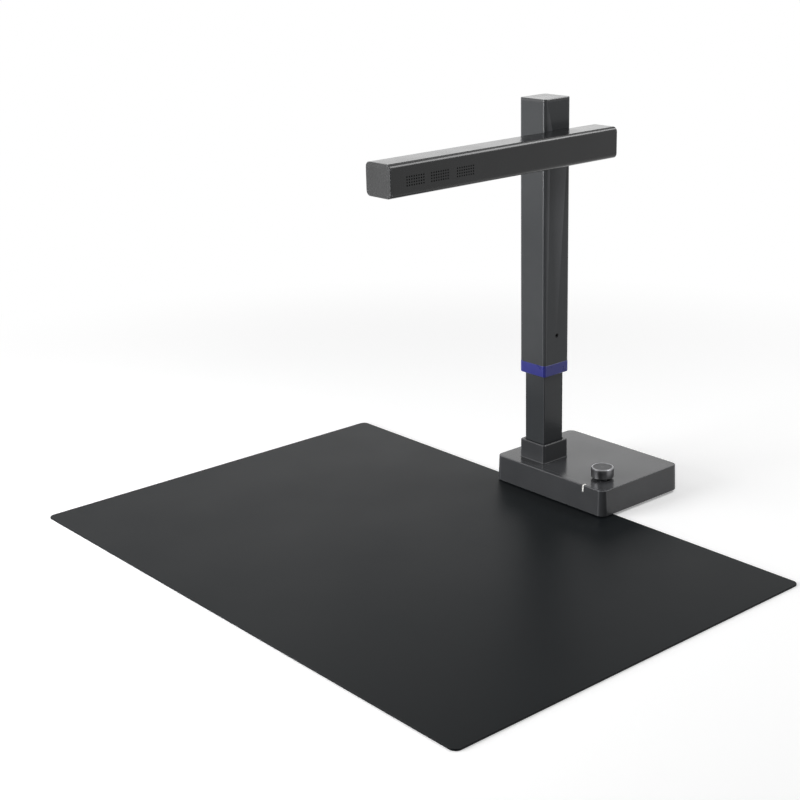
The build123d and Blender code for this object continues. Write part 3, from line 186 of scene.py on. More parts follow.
def makeWorld(look):
    world = bpy.data.worlds.new("studioWorld")
    world.use_nodes = True
    tree = world.node_tree
    tree.nodes.clear()
    sky = {"Value": seenShare(tree), "To Min": look["skyForDiffuse"], "To Max": 1.0}
    strength = addNode(tree, "ShaderNodeMapRange", sky).outputs[0]
    light = addNode(tree, "ShaderNodeBackground", {"Color": (1, 1, 1, 1), "Strength": strength})
    addNode(tree, "ShaderNodeOutputWorld", {"Surface": light.outputs[0]})
    bpy.context.scene.world = world


def makeFloor(look):
    # lit paper near the object, so that it keeps the shadow, turning to plain white farther out
    paint = bpy.data.materials.new("studioFloor")
    paint.use_nodes = True
    tree = paint.node_tree
    tree.nodes.clear()
    seen = seenShare(tree)
    lift = addNode(tree, "ShaderNodeMath", {0: seen, 1: look["floorLift"]}, operation="MULTIPLY")
    paper = addNode(tree, "ShaderNodeBsdfDiffuse", {"Color": linear(look["floorColour"])})
    glow = addNode(tree, "ShaderNodeEmission", {"Color": (1, 1, 1, 1), "Strength": lift.outputs[0]})
    near = addNode(tree, "ShaderNodeAddShader", {0: paper.outputs[0], 1: glow.outputs[0]})
    coords = addNode(tree, "ShaderNodeTexCoord").outputs["Object"]
    reach = addNode(tree, "ShaderNodeVectorMath", {0: coords, 1: look["middle"]}, operation="DISTANCE").outputs["Value"]
    nearEdge, farEdge = look["farFloor"]
    fade = addNode(
        tree, "ShaderNodeMapRange", {"Value": reach, "From Min": nearEdge, "From Max": farEdge},
        interpolation_type="SMOOTHSTEP",
    )
    fade = addNode(tree, "ShaderNodeMath", {0: fade.outputs[0], 1: seen}, operation="MULTIPLY")
    plain = addNode(tree, "ShaderNodeEmission", {"Color": (1, 1, 1, 1), "Strength": 1.0})
    both = addNode(tree, "ShaderNodeMixShader", {0: fade.outputs[0], 1: near.outputs[0], 2: plain.outputs[0]})
    addNode(tree, "ShaderNodeOutputMaterial", {"Surface": both.outputs[0]})
    floor = flatSheet("studioFloor", (look["floorSide"], look["floorSide"]), paint)
    floor.location = (0, 0, -look["floorBelow"])


makeLamps(studio)
makeWorld(studio)
makeFloor(studio)
bpy.context.scene.view_settings.view_transform = "Standard"
print("studio lit")


# Materials: each one is a few patterns, a tone made from them, and one closing step
noiseSpan = (0.3, 0.7)     # most values of a noise lie between these


def startMaterial(name):
    material = bpy.data.materials.new(name)
    material.use_nodes = True
    tree = material.node_tree
    tree.nodes.clear()
    coords = addNode(tree, "ShaderNodeTexCoord").outputs["Object"]
    return material, tree, coords


def noiseAt(tree, coords, size, stretch=(1, 1, 1), detail=3.0):
    # noise whose features are about size millimetres across, drawn out by stretch along each axis
    placed = addNode(tree, "ShaderNodeMapping", {"Vector": coords, "Scale": tuple(1 / s for s in stretch)})
    return addNode(
        tree, "ShaderNodeTexNoise", {"Vector": placed.outputs[0], "Scale": 1 / (size * mm), "Detail": detail}
    ).outputs[0]


def cloudedTone(tree, look, cloud):
    # the colour drifts to the cloud colour and back
    share = addNode(tree, "ShaderNodeMapRange", {"Value": cloud, "From Min": noiseSpan[0], "From Max": noiseSpan[1]})
    tones = {0: share.outputs[0], 6: linear(look["colour"]), 7: linear(look["cloudColour"])}
    return addNode(tree, "ShaderNodeMix", tones, data_type="RGBA").outputs[2]


def closeMaterial(tree, look, inputs, gloss=None, height=None, glossSpan=noiseSpan):
    # the gloss pattern takes the roughness from its first value to its second, and the height pattern dents the face
    inputs = {"Roughness": look["roughness"], **inputs}
    if gloss is not None:
        smooth, dull = look["roughness"]
        spans = {"From Min": glossSpan[0], "From Max": glossSpan[1], "To Min": smooth, "To Max": dull}
        inputs["Roughness"] = addNode(tree, "ShaderNodeMapRange", {"Value": gloss, **spans}).outputs[0]
    if height is not None:
        dents = {"Strength": look["strength"], "Distance": look["depth"] * mm, "Height": height}
        inputs["Normal"] = addNode(tree, "ShaderNodeBump", dents).outputs[0]
    shader = addNode(tree, "ShaderNodeBsdfPrincipled", inputs)
    addNode(tree, "ShaderNodeOutputMaterial", {"Surface": shader.outputs[0]})


def mouldedPlastic(name, look):
    # Moulded ABS: the mould's spark-eroded grain breaks the gloss into a satin sheen, faint clouds show where hands
    # have polished it, and edges carry a painted highlight, a paler colour broken up by the grain
    material, tree, coords = startMaterial(name)
    cloud = noiseAt(tree, coords, look["cloud"])
    grain = noiseAt(tree, coords, look["grain"], detail=2.0)
    # painted highlight: where the edge attribute is set, the tone turns to the paler edge colour, more where the grain
    # is high
    edge = addNode(tree, "ShaderNodeAttribute", attribute_name="edge").outputs["Fac"]
    spans = {"From Min": noiseSpan[0], "From Max": noiseSpan[1], "To Min": look["leastGlint"], "To Max": 1.0}
    glintShare = addNode(tree, "ShaderNodeMapRange", {"Value": grain, **spans}).outputs[0]
    glintShare = addNode(tree, "ShaderNodeMath", {0: edge, 1: glintShare}, operation="MULTIPLY").outputs[0]
    tones = {0: glintShare, 6: cloudedTone(tree, look, cloud), 7: linear(look["paintedGlintColour"])}
    tone = addNode(tree, "ShaderNodeMix", tones, data_type="RGBA").outputs[2]
    closeMaterial(tree, look, {"Base Color": tone, "IOR": look["ior"]}, cloud, grain)
    return material


def drawnAluminium(name, look):
    # Drawn tube, blasted and powder coated: faint lines run along the draw, under a fine orange peel
    material, tree, coords = startMaterial(name)
    cloud = noiseAt(tree, coords, look["cloud"])
    lines = noiseAt(tree, coords, look["lines"], stretch=look["lineStretch"], detail=2.0)
    peel = noiseAt(tree, coords, look["grain"], detail=2.0)
    # painted highlight: where the edge attribute is set, the tone turns to the paler edge colour
    edge = addNode(tree, "ShaderNodeAttribute", attribute_name="edge").outputs["Fac"]
    tones = {0: edge, 6: cloudedTone(tree, look, cloud), 7: linear(look["paintedGlintColour"])}
    tone = addNode(tree, "ShaderNodeMix", tones, data_type="RGBA").outputs[2]
    height = addNode(tree, "ShaderNodeMath", {0: peel, 1: lines}, operation="ADD").outputs[0]
    closeMaterial(tree, look, {"Base Color": tone, "IOR": look["ior"]}, lines, height)
    return material


def plainMetal(name, look):
    # Bare, plated or blackened metal: the working of it leaves streaks or a cast skin, seen in the gloss and a little
    # in the tone
    material, tree, coords = startMaterial(name)
    streak = noiseAt(tree, coords, look["streak"], stretch=look["stretch"])
    cloud = noiseAt(tree, coords, look["cloud"])
    closeMaterial(tree, look, {"Base Color": cloudedTone(tree, look, cloud), "Metallic": 1.0}, streak, streak)
    return material


blackAbs = {
    "colour": "#38393B",
    "cloudColour": "#3C3D3F",
    # edge colour: painted highlight along rounded edges and upright corners
    "paintedGlintColour": "#56575A",
    "leastGlint": 0.35,       # share of the painted edge highlight where the grain is lowest
    "cloud": 34.0,
    "grain": 0.7,            # real grain is about 0.15 mm; drawn coarser to show at this distance
    "depth": 0.008,
    "strength": 0.3,
    "roughness": (0.2, 0.25),
    "ior": 1.41,
}
headAbs = dict(blackAbs, colour="#1A1B1C", cloudColour="#1E1F20", roughness=(0.17, 0.21), cloud=22.0)
blueAbs = dict(
    blackAbs, colour="#1E2272", cloudColour="#21267A", paintedGlintColour="#4B50A8", cloud=12.0, grain=0.6,
    roughness=(0.25, 0.32), ior=1.42,
)
coatedTube = {
    "colour": "#36383A",
    "cloudColour": "#3A3C3E",
    # edge colour: painted highlight along rounded edges and upright corners
    "paintedGlintColour": "#5A5B5E",
    "cloud": 60.0,
    "lines": 0.8,            # pitch of the drawing lines across the tube
    "lineStretch": (1, 1, 60),
    "grain": 0.7,            # orange peel
    "depth": 0.005,
    "strength": 0.3,
    "roughness": (0.18, 0.22),
    "ior": 1.31,
}

shellPlastic = mouldedPlastic("mouldedAbsBlack", blackAbs)
headPlastic = mouldedPlastic("mouldedAbsHead", headAbs)
bluePlastic = mouldedPlastic("mouldedAbsBlue", blueAbs)
tubeCoat = drawnAluminium("coatedAluminiumTube", coatedTube)


def matRubber(look):
    # Calendered rubber sheet: a shallow leather-like emboss and a dull face that lightens at a grazing angle
    material, tree, coords = startMaterial("calenderedRubberSheet")
    cells = addNode(
        tree, "ShaderNodeTexVoronoi", {"Vector": coords, "Scale": 1 / (look["cell"] * mm)}, feature="SMOOTH_F1"
    ).outputs["Distance"]
    cloud = noiseAt(tree, coords, look["cloud"], detail=4.0)
    closeMaterial(tree, look, {"Base Color": cloudedTone(tree, look, cloud), "IOR": look["ior"]}, cloud, cells)
    return material


matLook = {
    "colour": "#0F1214",
    "cloudColour": "#121517",
    "cloud": 120.0,
    "cell": 1.6,             # emboss cells are about 0.8 mm; doubled so that they show
    "depth": 0.02,
    "strength": 0.2,
    "roughness": (0.38, 0.44),
    "ior": 1.19,
}
matSheet = matRubber(matLook)


def anodisedKnob(look):
    # Turned and anodised aluminium: rings of the cutting tool run round the axis, so the gloss draws soft upright bands
    material, tree, coords = startMaterial("anodisedAluminiumBlack")
    rings = noiseAt(tree, coords, look["ring"], stretch=look["ringStretch"], detail=2.0)
    cloud = noiseAt(tree, coords, look["cloud"])
    closeMaterial(tree, look, {"Base Color": cloudedTone(tree, look, cloud), "Metallic": 1.0}, rings, rings)
    return material


knobLook = {
    "colour": "#6A6A6C",
    "cloudColour": "#727274",
    "ring": 0.35,
    "ringStretch": (40, 40, 1),
    "cloud": 6.0,
    "depth": 0.004,
    "strength": 0.3,
    "roughness": (0.27, 0.36),
}
# pale metal that paints the highlight ring on the knob's rim
rimHighlightLook = {
    "colour": "#B4B5B8",
    "cloudColour": "#C0C1C4",
    "streak": 0.3,
    "stretch": (20, 20, 1),
    "cloud": 8.0,
    "depth": 0.002,
    "strength": 0.2,
    "roughness": (0.2, 0.3),
}
knobBlack = anodisedKnob(knobLook)
knobRimHighlight = plainMetal("paintedRimHighlight", rimHighlightLook)


def discMark(look):
    # Spun disc of the knob: fine circles round its middle, and two small pale dots as its centre mark
    material, tree, coords = startMaterial("spunAluminiumDisc")
    middle = tuple(-v * mm for v in look["centre"])
    centred = addNode(tree, "ShaderNodeMapping", {"Vector": coords, "Location": middle}).outputs[0]
    flat = addNode(tree, "ShaderNodeVectorMath", {0: centred, 1: (1, 1, 0)}, operation="MULTIPLY").outputs[0]
    radius = addNode(tree, "ShaderNodeVectorMath", {0: flat}, operation="LENGTH").outputs["Value"]
    turns = addNode(tree, "ShaderNodeMath", {0: radius, 1: 2 * pi / (look["pitch"] * mm)}, operation="MULTIPLY")
    circles = addNode(tree, "ShaderNodeMath", {0: turns.outputs[0]}, operation="SINE").outputs[0]
    dots = []
    for side in (-1, 1):
        place = tuple(v * side * look["dotReach"] * mm for v in look["dotLine"])
        gap = addNode(tree, "ShaderNodeVectorMath", {0: flat, 1: place}, operation="DISTANCE").outputs["Value"]
        dot = addNode(tree, "ShaderNodeMath", {0: gap, 1: look["dotRadius"] * mm}, operation="LESS_THAN")
        dots.append(dot.outputs[0])
    marks = addNode(tree, "ShaderNodeMath", {0: dots[0], 1: dots[1]}, operation="MAXIMUM").outputs[0]
    tones = {0: marks, 6: linear(look["colour"]), 7: linear(look["markColour"])}
    tone = addNode(tree, "ShaderNodeMix", tones, data_type="RGBA").outputs[2]
    closeMaterial(tree, look, {"Base Color": tone, "Metallic": 1.0}, circles, circles, glossSpan=(-1, 1))
    return material


discLook = {
    "centre": (79.9, -3.0, 0.0),
    "pitch": 0.45,
    "colour": "#3C3C3E",
    "markColour": "#8A8A8C",
    "dotReach": 0.9,
    "dotRadius": 0.45,
    "dotLine": (0.82, 0.57, 0.0),
    "depth": 0.003,
    "strength": 0.2,
    "roughness": (0.28, 0.4),
}
knobDiscMetal = discMark(discLook)
print("finishes of the shown pieces made")


def squareLoops(rect, offsets):
    # rounded rectangle moved out by each offset:
    # corner centre + (radius + offset) (cos t, sin t), with t running round each quarter
    halfX, halfY, radius = rect
    quarter = np.linspace(0, pi / 2, cornerSteps + 1)
    turn = (np.arange(4)[:, None] * pi / 2 + quarter[None, :]).ravel()
    signs = np.repeat(np.array([[1, 1], [-1, 1], [-1, -1], [1, -1]]), cornerSteps + 1, axis=0)
    centres = signs * np.array([halfX - radius, halfY - radius])
    reach = np.maximum(radius + np.asarray(offsets), 0.02)
    return centres[None] + reach[:, None, None] * np.stack([np.cos(turn), np.sin(turn)], -1)[None]


def circleLoops(radii, segments):
    turn = np.linspace(0, 2 * pi, segments, endpoint=False)
    return np.asarray(radii)[:, None, None] * np.stack([np.cos(turn), np.sin(turn)], -1)[None]


def easedProfile(points, radii, steps=4, closed=False):
    # a polyline with each corner replaced by an arc of its radius, tangent to both sides; the flag for the painted
    # highlight rises to 1 midway along each arc and is 0 at its ends, so flat faces stay unmarked
    points = np.array(points, float)
    made, flags = [], []
    for i, (point, radius) in enumerate(zip(points, radii)):
        if radius <= 0 or (not closed and i in (0, len(points) - 1)):
            made.append(point)
            flags.append(0.0)
            continue
        before, after = points[i - 1] - point, points[(i + 1) % len(points)] - point
        before, after = before / np.linalg.norm(before), after / np.linalg.norm(after)
        half = np.arccos(np.clip(before @ after, -1, 1)) / 2
        middle = point + (before + after) / np.linalg.norm(before + after) * radius / sin(half)
        first = point + before * radius / tan(half) - middle
        last = point + after * radius / tan(half) - middle
        for share in np.linspace(0, 1, steps + 1):
            arm = first * (1 - share) + last * share
            made.append(middle + arm / np.linalg.norm(arm) * radius)
            flags.append(4 * share * (1 - share))
    return np.array(made), np.array(flags)


def stackLoops(loops, heights, flags, closed=False):
    # loops are rows of points at each height; neighbours are joined by quads, and the ends are closed flat
    rows, columns = loops.shape[:2]
    points = np.concatenate([loops, np.broadcast_to(np.asarray(heights)[:, None, None], (rows, columns, 1))], -1)
    index = np.arange(rows * columns).reshape(rows, columns)
    lower, upper = (index, np.roll(index, -1, 0)) if closed else (index[:-1], index[1:])
    quads = np.stack([lower, np.roll(lower, -1, 1), np.roll(upper, -1, 1), upper], -1).reshape(-1, 4)
    faces = quads.tolist()
    if not closed:
        faces += [index[0][::-1].tolist(), index[-1].tolist()]
    return points.reshape(-1, 3), faces, np.repeat(flags, columns)


upAxes = ((1, 0, 0), (0, 1, 0), (0, 0, 1))          # local x, y and height, as directions of the frame
frontAxes = ((1, 0, 0), (0, 0, 1), (0, -1, 0))
backAxes = ((-1, 0, 0), (0, 0, 1), (0, 1, 0))
sideAxes = ((0, 1, 0), (0, 0, 1), (1, 0, 0))
innerSideAxes = ((0, -1, 0), (0, 0, 1), (-1, 0, 0))


def makeObject(name, points, faces, flags=None, centre=(0, 0, 0), axes=upAxes):
    # places local millimetre points in the frame, in metres: centre + points times the axes
    placed = (np.asarray(centre, float) + np.asarray(points) @ np.array(axes, float)) * mm
    mesh = bpy.data.meshes.new(name)
    mesh.from_pydata(placed.tolist(), [], faces)
    # the edge attribute marks where the materials paint a highlight on rounded edges and corners
    edge = mesh.attributes.new("edge", "FLOAT", "POINT")
    if flags is not None:
        edge.data.foreach_set("value", np.asarray(flags, np.float32))
    made = bpy.data.objects.new(name, mesh)
    bpy.context.scene.collection.objects.link(made)
    return made


def sweepSquare(name, rect, profile, radii, closed=False, centre=(0, 0, 0), axes=upAxes, steps=4):
    # a profile of (offset, height) points carried round a rounded square
    # the edge flag, where the materials paint a highlight, also marks both sides of each upright corner, one facet in
    line, flags = easedProfile(profile, radii, steps, closed)
    points, faces, edge = stackLoops(squareLoops(rect, line[:, 0]), line[:, 1], flags, closed)
    corners = np.zeros((4, cornerSteps + 1))
    corners[:, [1, -2]] = 1
    edge = np.maximum(edge.reshape(len(line), -1), corners.ravel()).ravel()
    return makeObject(name, points, faces, edge, centre, axes)


def turnProfile(name, profile, radii, centre=(0, 0, 0), axes=upAxes, segments=96, steps=4):
    # a profile of (radius, height) points turned about the axis through the centre
    line, flags = easedProfile(profile, radii, steps)
    points, faces, edge = stackLoops(circleLoops(line[:, 0], segments), line[:, 1], flags)
    return makeObject(name, points, faces, edge, centre, axes)


def cutAway(piece, cutters):
    # takes each closed cutter out of the piece, keeps the result as the piece's own mesh and drops the cutters
    for cutter in cutters:
        difference = piece.modifiers.new("cut", "BOOLEAN")
        difference.operation = "DIFFERENCE"
        difference.solver = "EXACT"
        difference.object = cutter
    shape = bpy.data.meshes.new_from_object(piece.evaluated_get(bpy.context.evaluated_depsgraph_get()))
    piece.modifiers.clear()
    old = piece.data
    piece.data = shape
    shape.name = piece.name
    bpy.data.meshes.remove(old)
    for cutter in cutters:
        bpy.data.objects.remove(cutter)


def finishPiece(piece, body, slotName, materials, *nodes):
    # smooth shading with crisp corners: flat faces weigh more, so only the rounded edges turn
    for material in materials:
        piece.data.materials.append(material)
    piece.data.shade_smooth()
    piece.data.set_sharp_from_angle(angle=radians(smoothBelow))
    weighted = piece.modifiers.new("flatFacesFirst", "WEIGHTED_NORMAL")
    weighted.keep_sharp = True
    weighted.weight = faceWeight
    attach(piece, body)
    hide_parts(*nodes)


def boxCutter(size, centre):
    profile = [(0, -size[2] / 2), (0, size[2] / 2)]
    return sweepSquare("cutter", (size[0] / 2, size[1] / 2, cutterCorner), profile, [0, 0], centre=centre)


def roundCutter(radius, length, centre, axes=upAxes):
    return turnProfile("cutter", [(radius, -length / 2), (radius, length / 2)], [0, 0], centre, axes, segments=48)


def seatCutter(look, reach, above, centre, axes):
    # a screw's hole with its countersunk seat, which opens at 45 degrees to the face
    hole, seat = look["screwHole"], look["screwSeat"]
    profile = [(hole, -reach), (hole, hole - seat), (seat, 0), (seat, above)]
    return turnProfile("cutter", profile, [0] * 4, centre, axes, segments=32)


# Base shell: drafted walls, eased top edge and an open underside, all in one profile
baseLook = {
    "half": (70.4, 52.9),
    "cornerRadius": 6.5,
    "centre": (34.5, 23.4, 0.0),
    "bottom": 2.5,
    "top": 27.6,
    "draft": 2.0,
    "edgeRadius": 0.8,
    "rimRadius": 0.3,
    "wall": 2.5,
    "topWall": 3.0,
    "topRing": 1.5,            # the top's flat middle starts this far outside the corners' centres
    "mastWay": 30.7,
    "encoderHole": 3.75,
    "knobAxis": (79.9, -3.0),
    "lightGuide": (79.9, 1.7, 4.0, 6.3),       # x, slot width, length on the top, drop down the front
    "powerSocket": (54.4, 19.2, 4.65),         # x, height, hole radius
    "dataSocket": (80.4, 16.35, 9.2, 3.6),     # x, height, slot width and height
}


def makeBaseShell(look):
    # offset of the wall at height z: (top - z) tan(draft), inner wall one wall thickness inside it
    lean = tan(radians(look["draft"]))
    bottom, top, ceiling = look["bottom"], look["top"], look["top"] - look["topWall"]
    profile = [
        ((top - ceiling) * lean - look["wall"], ceiling),
        ((top - bottom) * lean - look["wall"], bottom),
        ((top - bottom) * lean, bottom),
        (0, top),
        (look["topRing"] - look["cornerRadius"], top),
    ]
    radii = [0, look["rimRadius"], look["rimRadius"], look["edgeRadius"], 0]
    rect = (*look["half"], look["cornerRadius"])
    shell = sweepSquare("baseShell", rect, profile, radii, centre=look["centre"], steps=8)
    frontY = look["centre"][1] - look["half"][1]
    backY = look["centre"][1] + look["half"][1]
    guideX, guideWidth, guideTop, guideDrop = look["lightGuide"]
    powerX, powerZ, powerRadius = look["powerSocket"]
    dataX, dataZ, dataWidth, dataHeight = look["dataSocket"]
    slotReach, socketReach = 3.0, 5.0      # how far the cutters stand out of the front edge and the back wall
    topSlot = (guideX, frontY + (guideTop - slotReach) / 2, top + (slotReach - guideDrop) / 2)
    dataRect = (dataWidth / 2, dataHeight / 2, dataHeight / 2 - 0.01)
    cutters = [
        boxCutter((look["mastWay"], look["mastWay"], through), (0, 0, top)),
        roundCutter(look["encoderHole"], through, (*look["knobAxis"], top)),
        boxCutter((guideWidth, guideTop + slotReach, guideDrop + slotReach), topSlot),
        roundCutter(powerRadius, 2 * socketReach, (powerX, backY, powerZ), backAxes),
        sweepSquare(
            "cutter", dataRect, [(0, -socketReach), (0, socketReach)], [0, 0], centre=(dataX, backY, dataZ), axes=backAxes
        ),
    ]
    cutAway(shell, cutters)
    finishPiece(shell, "base", "shell_plastic", [shellPlastic], "base_shell")


makeBaseShell(baseLook)
print("base shell made")

# Collar, tubes, ring and cap of the mast: closed profiles carried round rounded squares
collarLook = {
    "topSide": 33.0,
    "flare": 0.55,             # each side, from top to bottom
    "corner": 2.7,
    "bottom": 27.6,
    "height": 18.7,
    "inner": 27.4,
    "rim": 30.6,
    "bevel": 0.7,
    "foot": (0.4, 0.9),        # reach and height of the small step round its bottom
    "sunk": 3.0,               # how far it stands down into the base
}
lowerTubeLook = {"side": 25.6, "corner": 1.2, "wall": 1.8, "span": (7.5, 178.95)}
upperTubeLook = {
    "side": 33.0,
    "corner": 3.0,
    "wall": 1.9,
    "span": (126.0, 373.5),
    "pivot": (334.1, 5.05),                    # height and radius of the shaft's hole
    "grubScrew": (153.6, 2.05),
    "screwReach": 9.5,
    "screwHole": 1.6,
    "screwSeat": 3.0,
}
ringLook = {"side": 33.4, "corner": 3.2, "span": (115.0, 126.0), "inner": 29.6, "topEdge": 0.25, "bottomEdge": 0.6}
capLook = {
    "side": 33.0, "corner": 3.0, "bottom": 373.5, "top": 376.0, "edge": 0.5, "topRing": 4.0,
    "spigot": 8.0, "spigotSide": 29.1, "spigotWall": 2.0,
}


def makeCollar(look):
    half = look["topSide"] / 2
    top = look["bottom"] + look["height"]
    inner, rim, bevel = look["inner"] / 2 - half, look["rim"] / 2 - half, look["bevel"]
    profile = [
        (rim, look["bottom"] - look["sunk"]),
        (rim, look["bottom"]),
        (look["flare"], look["bottom"]),
        (look["flare"], look["bottom"] + look["foot"][1] - look["foot"][0]),
        (look["flare"] - look["foot"][0], look["bottom"] + look["foot"][1]),
        (0, top - bevel),
        (-bevel, top),
        (inner, top),
        (inner, look["bottom"] - look["sunk"]),
    ]
    radii = [0, 0, 0.1, 0.12, 0.1, 0.18, 0.18, 0.2, 0]
    collar = sweepSquare("mastCollar", (half, half, look["corner"]), profile, radii, closed=True, steps=3)
    finishPiece(collar, "base", "shell_plastic", [shellPlastic], "mast_collar")


def makeTube(name, look, body, node, holes=()):
    half, wall = look["side"] / 2, look["wall"]
    low, high = look["span"]
    profile = [(-wall, low), (0, low), (0, high), (-wall, high)]
    tube = sweepSquare(name, (half, half, look["corner"]), profile, [0.15] * 4, closed=True, steps=2)
    if holes:
        cutAway(tube, holes)
    finishPiece(tube, body, "tube_aluminium", [tubeCoat], node)


def makeUpperTube(look):
    face, low = look["side"] / 2, look["side"] / 2 - look["wall"]
    pivotZ, pivotRadius = look["pivot"]
    grubZ, grubRadius = look["grubScrew"]
    middle = (face + low) / 2
    holes = [
        roundCutter(pivotRadius, through / 2, (middle, 0, pivotZ), sideAxes),
        roundCutter(grubRadius, through / 2, (middle, 0, grubZ), sideAxes),
    ]
    for sideY in (-1, 1):
        for sideZ in (-1, 1):
            place = (face, sideY * look["screwReach"], pivotZ + sideZ * look["screwReach"])
            holes.append(seatCutter(look, 3.0, 2.0, place, sideAxes))
    makeTube("upperTube", look, "mast", "upper_tube", holes)


def makeRing(look):
    half = look["side"] / 2
    low, high = look["span"]
    inner, top, bottom = look["inner"] / 2 - half, look["topEdge"], look["bottomEdge"]
    profile = [(inner, low), (-bottom, low), (0, low + bottom), (0, high - top), (-top, high), (inner, high)]
    radii = [0, 0.25, 0.25, 0.1, 0.1, 0]
    ring = sweepSquare("heightRing", (half, half, look["corner"]), profile, radii, closed=True, steps=3)
    finishPiece(ring, "mast", "blue_plastic", [bluePlastic], "height_ring")


def makeMastCap(look):
    half = look["side"] / 2
    spigot, edge = look["spigotSide"] / 2 - half, look["edge"]
    hollow = spigot - look["spigotWall"]
    end = look["bottom"] - look["spigot"]
    profile = [
        (hollow, look["bottom"]),
        (hollow, end),
        (spigot, end),
        (spigot, look["bottom"]),
        (0, look["bottom"]),
        (0, look["top"] - edge),
        (-edge, look["top"]),
        (-look["topRing"], look["top"]),
    ]
    radii = [0, 0.3, 0.3, 0, 0.1, 0.2, 0.2, 0]
    cap = sweepSquare("mastCap", (half, half, look["corner"]), profile, radii, steps=3)
    finishPiece(cap, "mast", "shell_plastic", [shellPlastic], "mast_cap")


makeCollar(collarLook)
makeTube("lowerTube", lowerTubeLook, "base", "lower_tube")
makeUpperTube(upperTubeLook)
makeRing(ringLook)
makeMastCap(capLook)
print("mast made")

# Head: a hollow channel whose +X wall is pierced by three groups of square vents
headLook = {
    "half": (15.75, 14.2),
    "cornerRadius": 4.5,
    "wall": 2.0,
    "centre": (33.45, 334.1),                  # x and height of its long axis
    "span": (-224.1, 40.8),
    "slotHalf": 11.55,
    "ventGroups": (-200.0, -173.2, -144.5),
    "ventColumns": 8,
    "ventRows": 4,
    "ventPitch": (2.6, 2.35),
    "ventSide": 1.2,
    "ventHeight": -1.2,                        # middle of the vents below the axis
    "capThickness": 2.5,
    "capEdge": 0.4,
    "capRing": 3.5,                            # from the side to the cap's flat middle
    "spigotLength": 7.0,
    "spigotWall": 2.0,
    "spigotGap": 0.05,
    "coverRelief": (6.0, 1.0),                 # height of the cut for the cover, and its middle above the head's foot
    "hingeHole": 7.05,
    "screwReach": 12.0,
    "screwHole": 1.6,
    "screwSeat": 3.0,
}


def makeHeadHousing(look):
    # outer and inner lines share their parameter, so each outer point has its partner one wall inside
    halfX, halfZ = look["half"]
    radius, wall, steps = look["cornerRadius"], look["wall"], cornerSteps
    ventZ = look["ventHeight"] + (np.arange(look["ventRows"]) - (look["ventRows"] - 1) / 2) * look["ventPitch"][1]
    ventLines = np.sort(np.concatenate([ventZ - look["ventSide"] / 2, ventZ + look["ventSide"] / 2]))[::-1]
    quarter = np.linspace(0, pi / 2, steps + 1)

    def line(offset):
        reach = radius - offset
        corners = []
        for signX, signZ, start in ((-1, -1, 1.5 * pi), (-1, 1, pi), (1, 1, pi / 2), (1, -1, 0)):
            turn = start - quarter
            centre = np.array([signX * (halfX - radius), signZ * (halfZ - radius)])
            corners.append(centre + reach * np.stack([np.cos(turn), np.sin(turn)], -1))
        vents = np.stack([np.full(len(ventLines), halfX - offset), ventLines], -1)
        slotZ = -halfZ + offset
        slotEnds = [[-look["slotHalf"], slotZ]], [[look["slotHalf"], slotZ]]
        return np.concatenate([slotEnds[0], *corners[:3], vents, corners[3], slotEnds[1]])

    outer, inner = line(0.0), line(wall)
    count = len(outer)
    ring = np.concatenate([outer, inner[::-1]])
    columns = (np.arange(look["ventColumns"]) - (look["ventColumns"] - 1) / 2) * look["ventPitch"][0]
    ventY = np.sort(np.concatenate([group + columns for group in look["ventGroups"]]))
    stations = np.sort(np.concatenate([look["span"], ventY - look["ventSide"] / 2, ventY + look["ventSide"] / 2]))
    rows = len(stations)
    points = np.empty((rows, 2 * count, 3))
    points[..., 0] = ring[None, :, 0] + look["centre"][0]
    points[..., 1] = stations[:, None]
    points[..., 2] = ring[None, :, 1] + look["centre"][1]
    index = np.arange(rows * 2 * count).reshape(rows, 2 * count)
    quads = np.stack([index[:-1], np.roll(index, -1, 1)[:-1], np.roll(index, -1, 1)[1:], index[1:]], -1)
    keep = np.ones(quads.shape[:2], bool)
    firstVent = 1 + 3 * (steps + 1)
    ventColumns = firstVent + np.arange(0, len(ventLines), 2)
    ventRows = 1 + np.arange(0, 2 * len(ventY), 2)
    rowGrid, columnGrid = np.meshgrid(ventRows, ventColumns, indexing="ij")
    partner = 2 * count - 2 - columnGrid
    keep[rowGrid, columnGrid] = False
    keep[rowGrid, partner] = False
    a, b = index[rowGrid, columnGrid], index[rowGrid, columnGrid + 1]
    d, c = index[rowGrid + 1, columnGrid], index[rowGrid + 1, columnGrid + 1]
    innerA, innerB = index[rowGrid, partner + 1], index[rowGrid, partner]
    innerD, innerC = index[rowGrid + 1, partner + 1], index[rowGrid + 1, partner]
    walls = [
        np.stack([a, b, innerB, innerA], -1),
        np.stack([b, c, innerC, innerB], -1),
        np.stack([c, d, innerD, innerC], -1),
        np.stack([d, a, innerA, innerD], -1),
    ]
    along = np.arange(count - 1)
    mate = 2 * count - 1 - along
    front = np.stack([index[0, along], index[0, mate], index[0, mate - 1], index[0, along + 1]], -1)
    back = np.stack([index[-1, along], index[-1, along + 1], index[-1, mate - 1], index[-1, mate]], -1)
    faces = np.concatenate([quads[keep].reshape(-1, 4), *[w.reshape(-1, 4) for w in walls], front, back])
    housing = makeObject("headHousing", points.reshape(-1, 3), faces.tolist())
    wallX = look["centre"][0] - halfX
    hinge = [roundCutter(look["hingeHole"], 3 * wall, (wallX, 0, look["centre"][1]), sideAxes)]
    for side in (-1, 1):
        place = (wallX, side * look["screwReach"], look["centre"][1])
        hinge.append(seatCutter(look, 3 * wall, 1.0, place, innerSideAxes))
    cutAway(housing, hinge)
    finishPiece(housing, "head", "head_plastic", [headPlastic], "head_housing")


